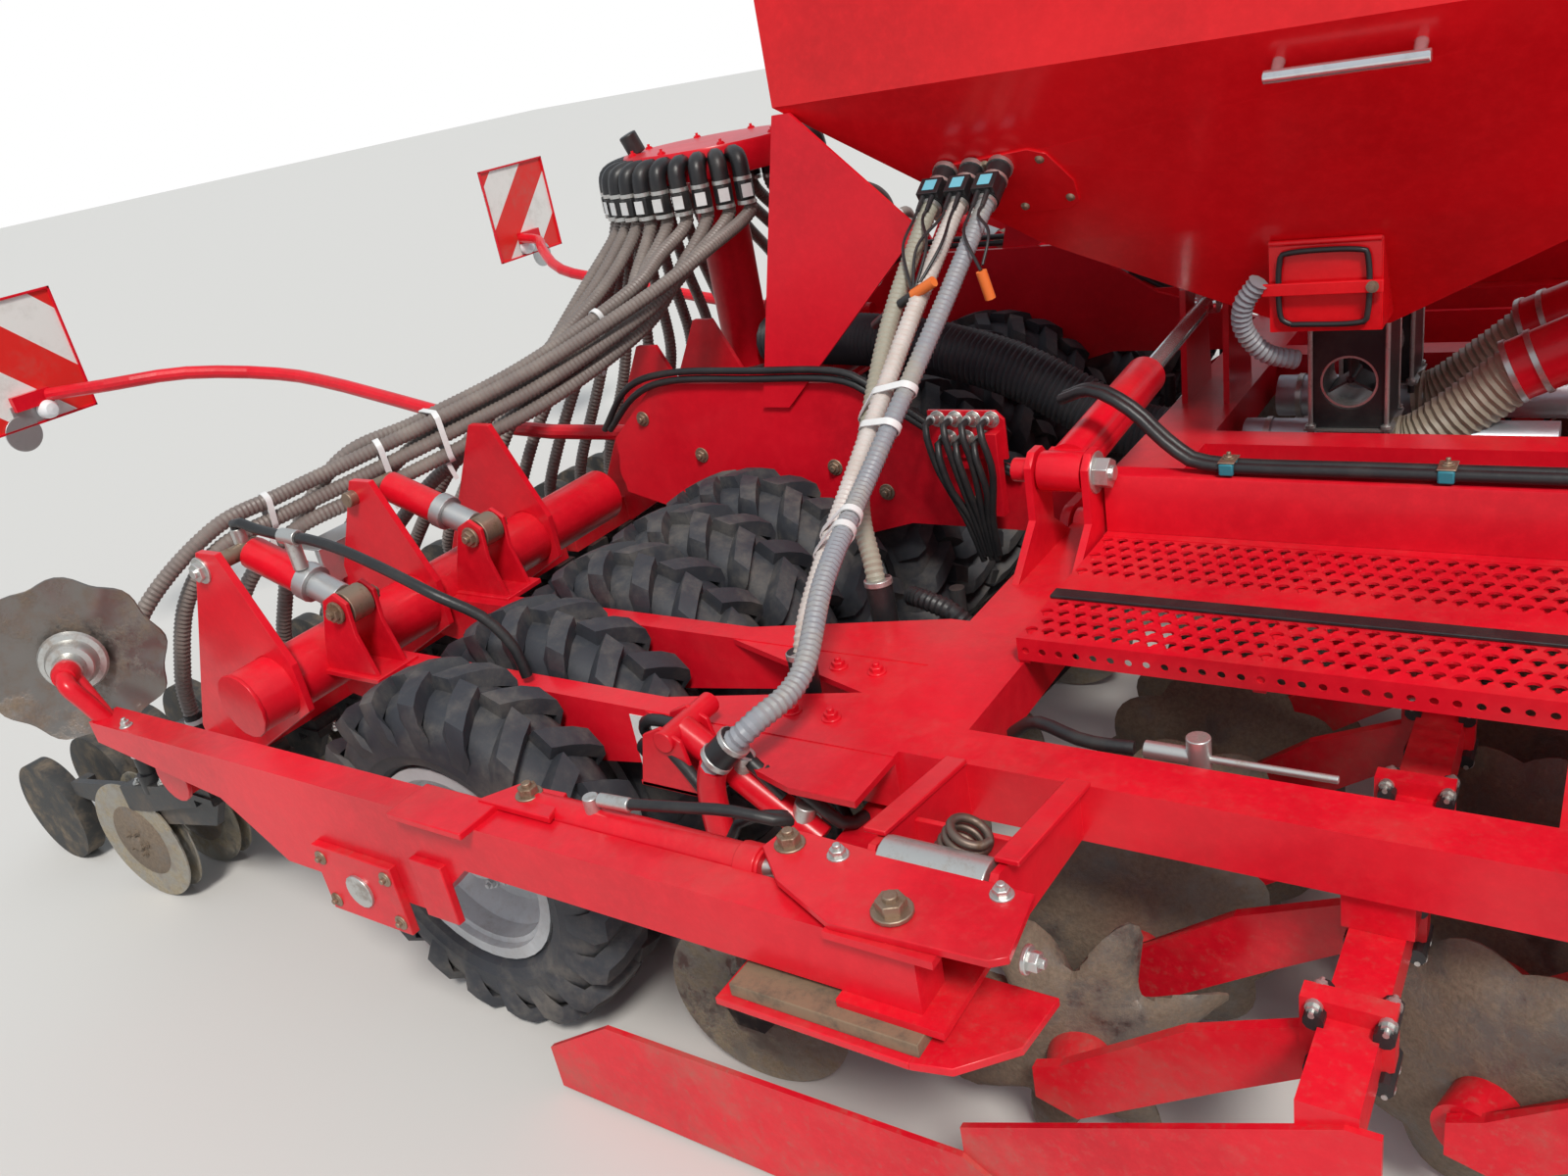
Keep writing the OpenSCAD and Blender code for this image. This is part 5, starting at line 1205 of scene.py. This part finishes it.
def lift_cylinder():
    """The small cylinder that lifts the fertiliser coulters, with its lugs and hose."""
    lug_plate = [(-0.69, 0.64), (-0.66, 0.745), (-0.62, 0.765), (-0.58, 0.745), (-0.56, 0.64)]
    both_sides("lift_barrel", [("rod", (-0.612, -1.9, 0.742), (-0.365, -1.9, 0.575), 0.0255),
        ("rod", (-0.612, -1.814, 0.742), (-0.612, -1.95, 0.742), 0.02),
        ("plate", lug_plate, "y", -1.868, -1.86), ("plate", lug_plate, "y", -1.943, -1.935),
        ("box", (-0.69, -1.943, 0.64), (-0.56, -1.814, 0.65))], "red", bevel=0.002)
    both_sides("lift_fittings", [("rod", (-0.5, -1.9, 0.675), (-0.484, -1.9, 0.716), 0.017),
        ("rod", (-0.395, -1.9, 0.61), (-0.382, -1.9, 0.642), 0.019)], "zinc")
    both_sides_hose("lift_hose", [[(-0.487, -1.9, 0.708), (-0.46, -1.903, 0.69),
        (-0.405, -1.9, 0.632)]], 0.0125, "plastic")


def disc_hubs():
    """Flat caps with bolts on the outer face of each seed disc."""
    hub = bmesh.new()
    lathe(hub, [(0.0, 0.018), (0.02, 0.018), (0.022, 0.01), (0.045, 0.008), (0.1, 0.0045),
                (0.104, 0.0021)], (0, 0, 0), "Z", 32)
    ring_of_bolts(hub, 5, 0.033, 0.009, 0.007, 0.006)
    turns = [(s, Matrix.Rotation(-s * SEED_LEAN, 4, "Z") @ Matrix.Rotation(-math.pi / 2 * s, 4, "X"))
             for s in (-1, 1)]
    places = {body: [Matrix.Translation((SEED_X, y + s * SEED_GAP, SEED_Z)) @ turn
        for y in ys for s, turn in turns] for body, ys in COULTERS.items()}
    repeated([("disc_hubs", hub, "disc")], places, smooth=35)


def lines_and_bolts():
    """Caps, cables, hydraulic hoses with ports and fittings, bolts and the blank plate."""
    both_sides("bar_cap", [("rod", (-2.0, -2.088, 0.48), (-2.0, -2.098, 0.48), 0.06),
        ("rod", (-1.66, -2.048, 0.7), (-1.66, -2.056, 0.7), 0.073)], "red")
    both_sides_hose("side_cables", [[(-1.72 - d, -0.746, 0.83), (-1.6 - d, -0.746, 0.93 + d),
        (-1.46, -0.746, 0.972 + d), (-1.2, -0.746, 0.975 + d), (-0.95, -0.746, 0.972 + d),
        (-0.84, -0.746, 0.925 + d), (-0.66 + d, -0.746, 0.815), (-0.5 + d, -0.746, 0.74)]
        for d in (0.0, 0.021)], 0.0095, "plastic", "chassis")
    ports = [(-0.675 + 0.045 * i, 0.885) for i in range(4)] + [(-0.65 + 0.045 * i, 0.84)
                                                               for i in range(3)]
    both_sides("port_plate", [("plate", [(-0.7, 0.79), (-0.7, 0.905), (-0.53, 0.905), (-0.51, 0.885),
        (-0.51, 0.79)], "y", -0.772, -0.762), ("box", (-0.66, -0.765, 0.76), (-0.56, -0.733, 0.8)),
        ("box", (-0.55, -0.8, 0.66), (-0.52, -0.772, 0.86))], "red", "chassis")
    both_sides("port_fittings", [("rod", (x, -0.77, z), (x, -0.805, z + 0.008), 0.012)
        for x, z in ports] + [("bolt", (x, -0.77, z), (0, -1, 0), 0.015, 0.012) for x, z in ports],
        "zinc", "chassis")
    both_sides_hose("port_hoses", [[(x, -0.8, z + 0.006), (x, -0.835, z - 0.005),
        (x + 0.02, -0.835, z - 0.1), (0.5 * x - 0.27, -0.82, 0.66), (0.3 * x - 0.38, -0.8, 0.54)]
        for x, z in ports], 0.0085, "plastic", "chassis")
    both_sides_hose("rail_hoses", [[(-0.3, -0.93 + d, 0.99), (-0.22, -0.97 + d, 1.02),
        (-0.14, -0.985 + d, 0.985), (-0.07, -0.99 + d, 0.92), (0.01, -0.995 + d, 0.884),
        (0.3, -0.998 + d, 0.882), (0.7, -0.998 + d, 0.882), (1.06, -0.998 + d, 0.882)]
        for d in (-0.012, 0.012)], 0.011, "plastic")
    spots = (0.04, 0.4, 0.76)
    both_sides("rail_clips", [("box", (x - 0.013, -1.024, 0.8705), (x + 0.013, -0.974, 0.8935))
        for x in spots], "teal", bevel=0.003)
    both_sides("rail_clip_bolts", [("bolt", (x, -0.998, 0.8965), (0, 0, 1), 0.008, 0.006)
        for x in spots] + [("box", (x - 0.015, -1.022, 0.8935), (x + 0.015, -0.976, 0.8965))
        for x in spots], "rusty")
    both_sides_hose("beam_hose", [[(-0.16, -1.6, 0.63), (-0.1, -1.63, 0.68), (0.0, -1.675, 0.69),
        (0.1, -1.67, 0.69)]], 0.011, "plastic")
    both_sides("beam_fitting", [("rod", (0.09, -1.67, 0.69), (0.16, -1.67, 0.69), 0.014),
        ("rod", (0.17, -1.67, 0.66), (0.17, -1.67, 0.725), 0.018),
        ("rod", (0.18, -1.67, 0.69), (0.36, -1.67, 0.69), 0.006)], "zinc")
    both_sides_hose("coulter_elbows", [[(-0.512, -1.95, 0.718), (-0.524, -1.95, 0.69),
        (-0.53, -1.95, 0.65), (-0.53, -1.95, 0.56)], [(-0.53, -1.65, 0.64), (-0.53, -1.65, 0.56)],
        [(-0.53, -1.35, 0.64), (-0.53, -1.35, 0.56)]], 0.0245, "red", sides=3, step=0.012)
    both_sides("hose_couplers", [("rod", (-0.506, -1.951, 0.73), (-0.468, -1.936, 0.766), 0.0275),
        ("rod", (-0.53, -1.65, 0.625), (-0.531, -1.642, 0.76), 0.0262),
        ("rod", (-0.53, -1.35, 0.625), (-0.538, -1.345, 0.76), 0.0262)], "plastic")
    both_sides("coupler_clamps", [("rod", (-0.506, -1.951, 0.73), (-0.499, -1.948, 0.737), 0.0295),
        ("rod", (-0.475, -1.939, 0.759), (-0.468, -1.936, 0.766), 0.0295),
        ("rod", (-0.53, -1.643, 0.748), (-0.531, -1.642, 0.76), 0.0285),
        ("rod", (-0.537, -1.346, 0.748), (-0.538, -1.345, 0.76), 0.0285)], "zinc")
    both_sides_hose("coulter_lines", [[(-0.52, -1.93, 0.66), (-0.6, -1.9, 0.735), (-0.7, -1.88, 0.73),
        (-0.74, -1.85, 0.67), (-0.7, -1.81, 0.61)], [(-0.52, -1.96, 0.65), (-0.62, -1.93, 0.715),
        (-0.71, -1.9, 0.69), (-0.72, -1.86, 0.63), (-0.67, -1.81, 0.6)], [(-0.45, -1.9, 0.69),
        (-0.38, -1.9, 0.66), (-0.33, -1.88, 0.6), (-0.32, -1.81, 0.58)], [(-0.4, -1.75, 0.67),
        (-0.42, -1.77, 0.6), (-0.38, -1.8, 0.54), (-0.3, -1.85, 0.52)]], 0.011, "plastic")
    both_sides_hose("beam_sleeves", [[(-0.49, -1.72, 0.68), (-0.45, -1.7, 0.63), (-0.405, -1.7, 0.54),
        (-0.37, -1.69, 0.45)], [(-0.5, -1.29, 0.7), (-0.46, -1.31, 0.705), (-0.4, -1.32, 0.69),
        (-0.36, -1.32, 0.65)]], 0.021, "plastic", pitch=0.012)
    both_sides("ear_nuts", [("bolt", (-0.195, -1.05, 0.88), (1, 0, 0), 0.031, 0.03)], "zinc")
    both_sides("ear_pins", [("rod", (-0.365, -1.05, 0.88), (-0.325, -1.05, 0.88), 0.024)], "red")
    both_sides("blank_plate", [("box", (-0.81, -1.8165, 0.575), (-0.7, -1.8145, 0.685))],
               "white", bevel=0.0)
    both_sides("side_bolts", [("bolt", (x, -0.735, z), (0, -1, 0), 0.016, 0.01)
        for x, z in ((-1.42, 0.76), (-1.0, 0.74), (-0.86, 0.68), (-0.62, 0.66), (-1.6, 0.86),
        (-0.45, 0.65))] + [("bolt", (-1.17 + 0.09 * dx, -0.735, 0.45 + 0.09 * dz), (0, -1, 0), 0.014)
        for dx in (-1, 1) for dz in (0, 1)], "rusty", "chassis")
    both_sides("arm_bolts", [("bolt", (x, y, z), (0, -1, 0), 0.016, 0.01) for y in (-1.815, -1.535)
        for x, z in ((-0.6, 0.65), (-1.02, 0.62), (-1.32, 0.6), (-1.5, 0.65))] +
        [("bolt", (x, y, 0.699), (0, 0, 1), 0.013) for y in (-1.74, -1.58) for x in (-0.42, -0.5)],
        "red")


def sensors_and_flange():
    """The bolted flange round the taps, with a sensor, its lead and a plug on each hose."""
    rise = Vector((0, -0.537, 0.844))
    slope = Matrix.Translation((0, -0.6247, 1.411))
    turn = Matrix(((1, 0, 0), (0, rise.y, SLOPE_OUT.y), (0, rise.z, SLOPE_OUT.z))).to_4x4()
    outline = [(-0.7, -0.07), (-0.695, -0.01), (-0.67, 0.012), (-0.45, 0.034), (-0.412, 0.018),
               (-0.372, -0.06), (-0.374, -0.115), (-0.4, -0.135), (-0.55, -0.14)]
    rivets = [(-0.685, -0.02), (-0.553, 0.008), (-0.43, 0.005), (-0.392, -0.104), (-0.5, -0.118)]
    for side, s in SIDES.items():
        plates, heads, blocks, labels = (bmesh.new() for _ in range(4))
        plate(plates, outline, "z", -0.001, 0.006)
        for x, t in rivets:
            lathe(heads, [(0.0, 0.007), (0.006, 0.006), (0.0105, 0.0)], (x, t, 0.006), "Z", 12)
        for x, _, _ in COULTER_WAYS:
            box(blocks, (x - 0.025, -0.012, 0.063), (x + 0.025, 0.036, 0.11))
            box(labels, (x - 0.014, 0.0355, 0.07), (x + 0.014, 0.037, 0.1))
            for dx in (-0.011, 0.011):
                rod(blocks, (x + dx, 0.026, 0.108), (x + dx, 0.024, 0.15), 0.0062, 0.0048, sides=10)
        for bm, name, material in ((plates, "tap_flange", "hopper"), (heads, "flange_rivets", "rusty"),
                                   (blocks, "seed_sensors", "plastic"),
                                   (labels, "sensor_labels", "label")):
            bmesh.ops.transform(bm, matrix=slope @ turn, verts=bm.verts)
            if s > 0:
                to_left(bm)
            bmesh.ops.recalc_face_normals(bm, faces=bm.faces)
            piece(f"{name}_{side}", bm, M[material], "chassis", smooth=30, bevel=0.001)
    joint, far = Vector((-0.597, -0.948, 1.215)), Vector((-0.462, -0.9, 1.245))
    leads = []
    for (x, _, _), end in zip(COULTER_WAYS, (far, joint, joint)):
        for dx in (-0.011, 0.011):
            start = Vector((x + dx, -0.6247, 1.411)) + SLOPE_OUT * 0.148 + rise * 0.024
            leads.append([start, start + SLOPE_OUT * 0.03, start.lerp(end, 0.5) +
                Vector((dx * 2, -0.012, 0.01)), end])
    both_sides_hose("sensor_leads", leads, 0.0035, "plastic", None, sides=1, step=0.015)
    both_sides_hose("lead_plugs", [[joint, joint + Vector((0.057, -0.004, 0.028))],
        [far, far + Vector((0.012, 0.01, -0.07))]], 0.0115, "orange", None, step=0.02)
    both_sides_hose("lead_sockets", [[joint, (-0.645, -0.944, 1.19)], [(-0.645, -0.944, 1.19),
        (-0.685, -0.932, 1.165), (-0.73, -0.9, 1.14)]], 0.01, "plastic", None, step=0.02)
    both_sides_hose("calibration_hose", [[(-0.025, -0.5, 1.1), (-0.06, -0.49, 1.05),
        (-0.065, -0.47, 0.99), (-0.03, -0.44, 0.93), (0.03, -0.4, 0.9)]], 0.023, "grey_hose", "chassis",
        pitch=0.013, depth=0.16, sides=3)


# Build order

random.seed(7)
photograph_camera()
floor_and_light()
finish_nodes()
packer()
harrow()
gratings()
seed_hoses()
distributor_head()
air_and_metering()
coulter_hoses()
hopper_fittings()
boards_and_lamps()
clamps()
marker()
seed_coulters()
depth_cylinders()
lift_cylinder()
disc_hubs()
lines_and_bolts()
sensors_and_flange()
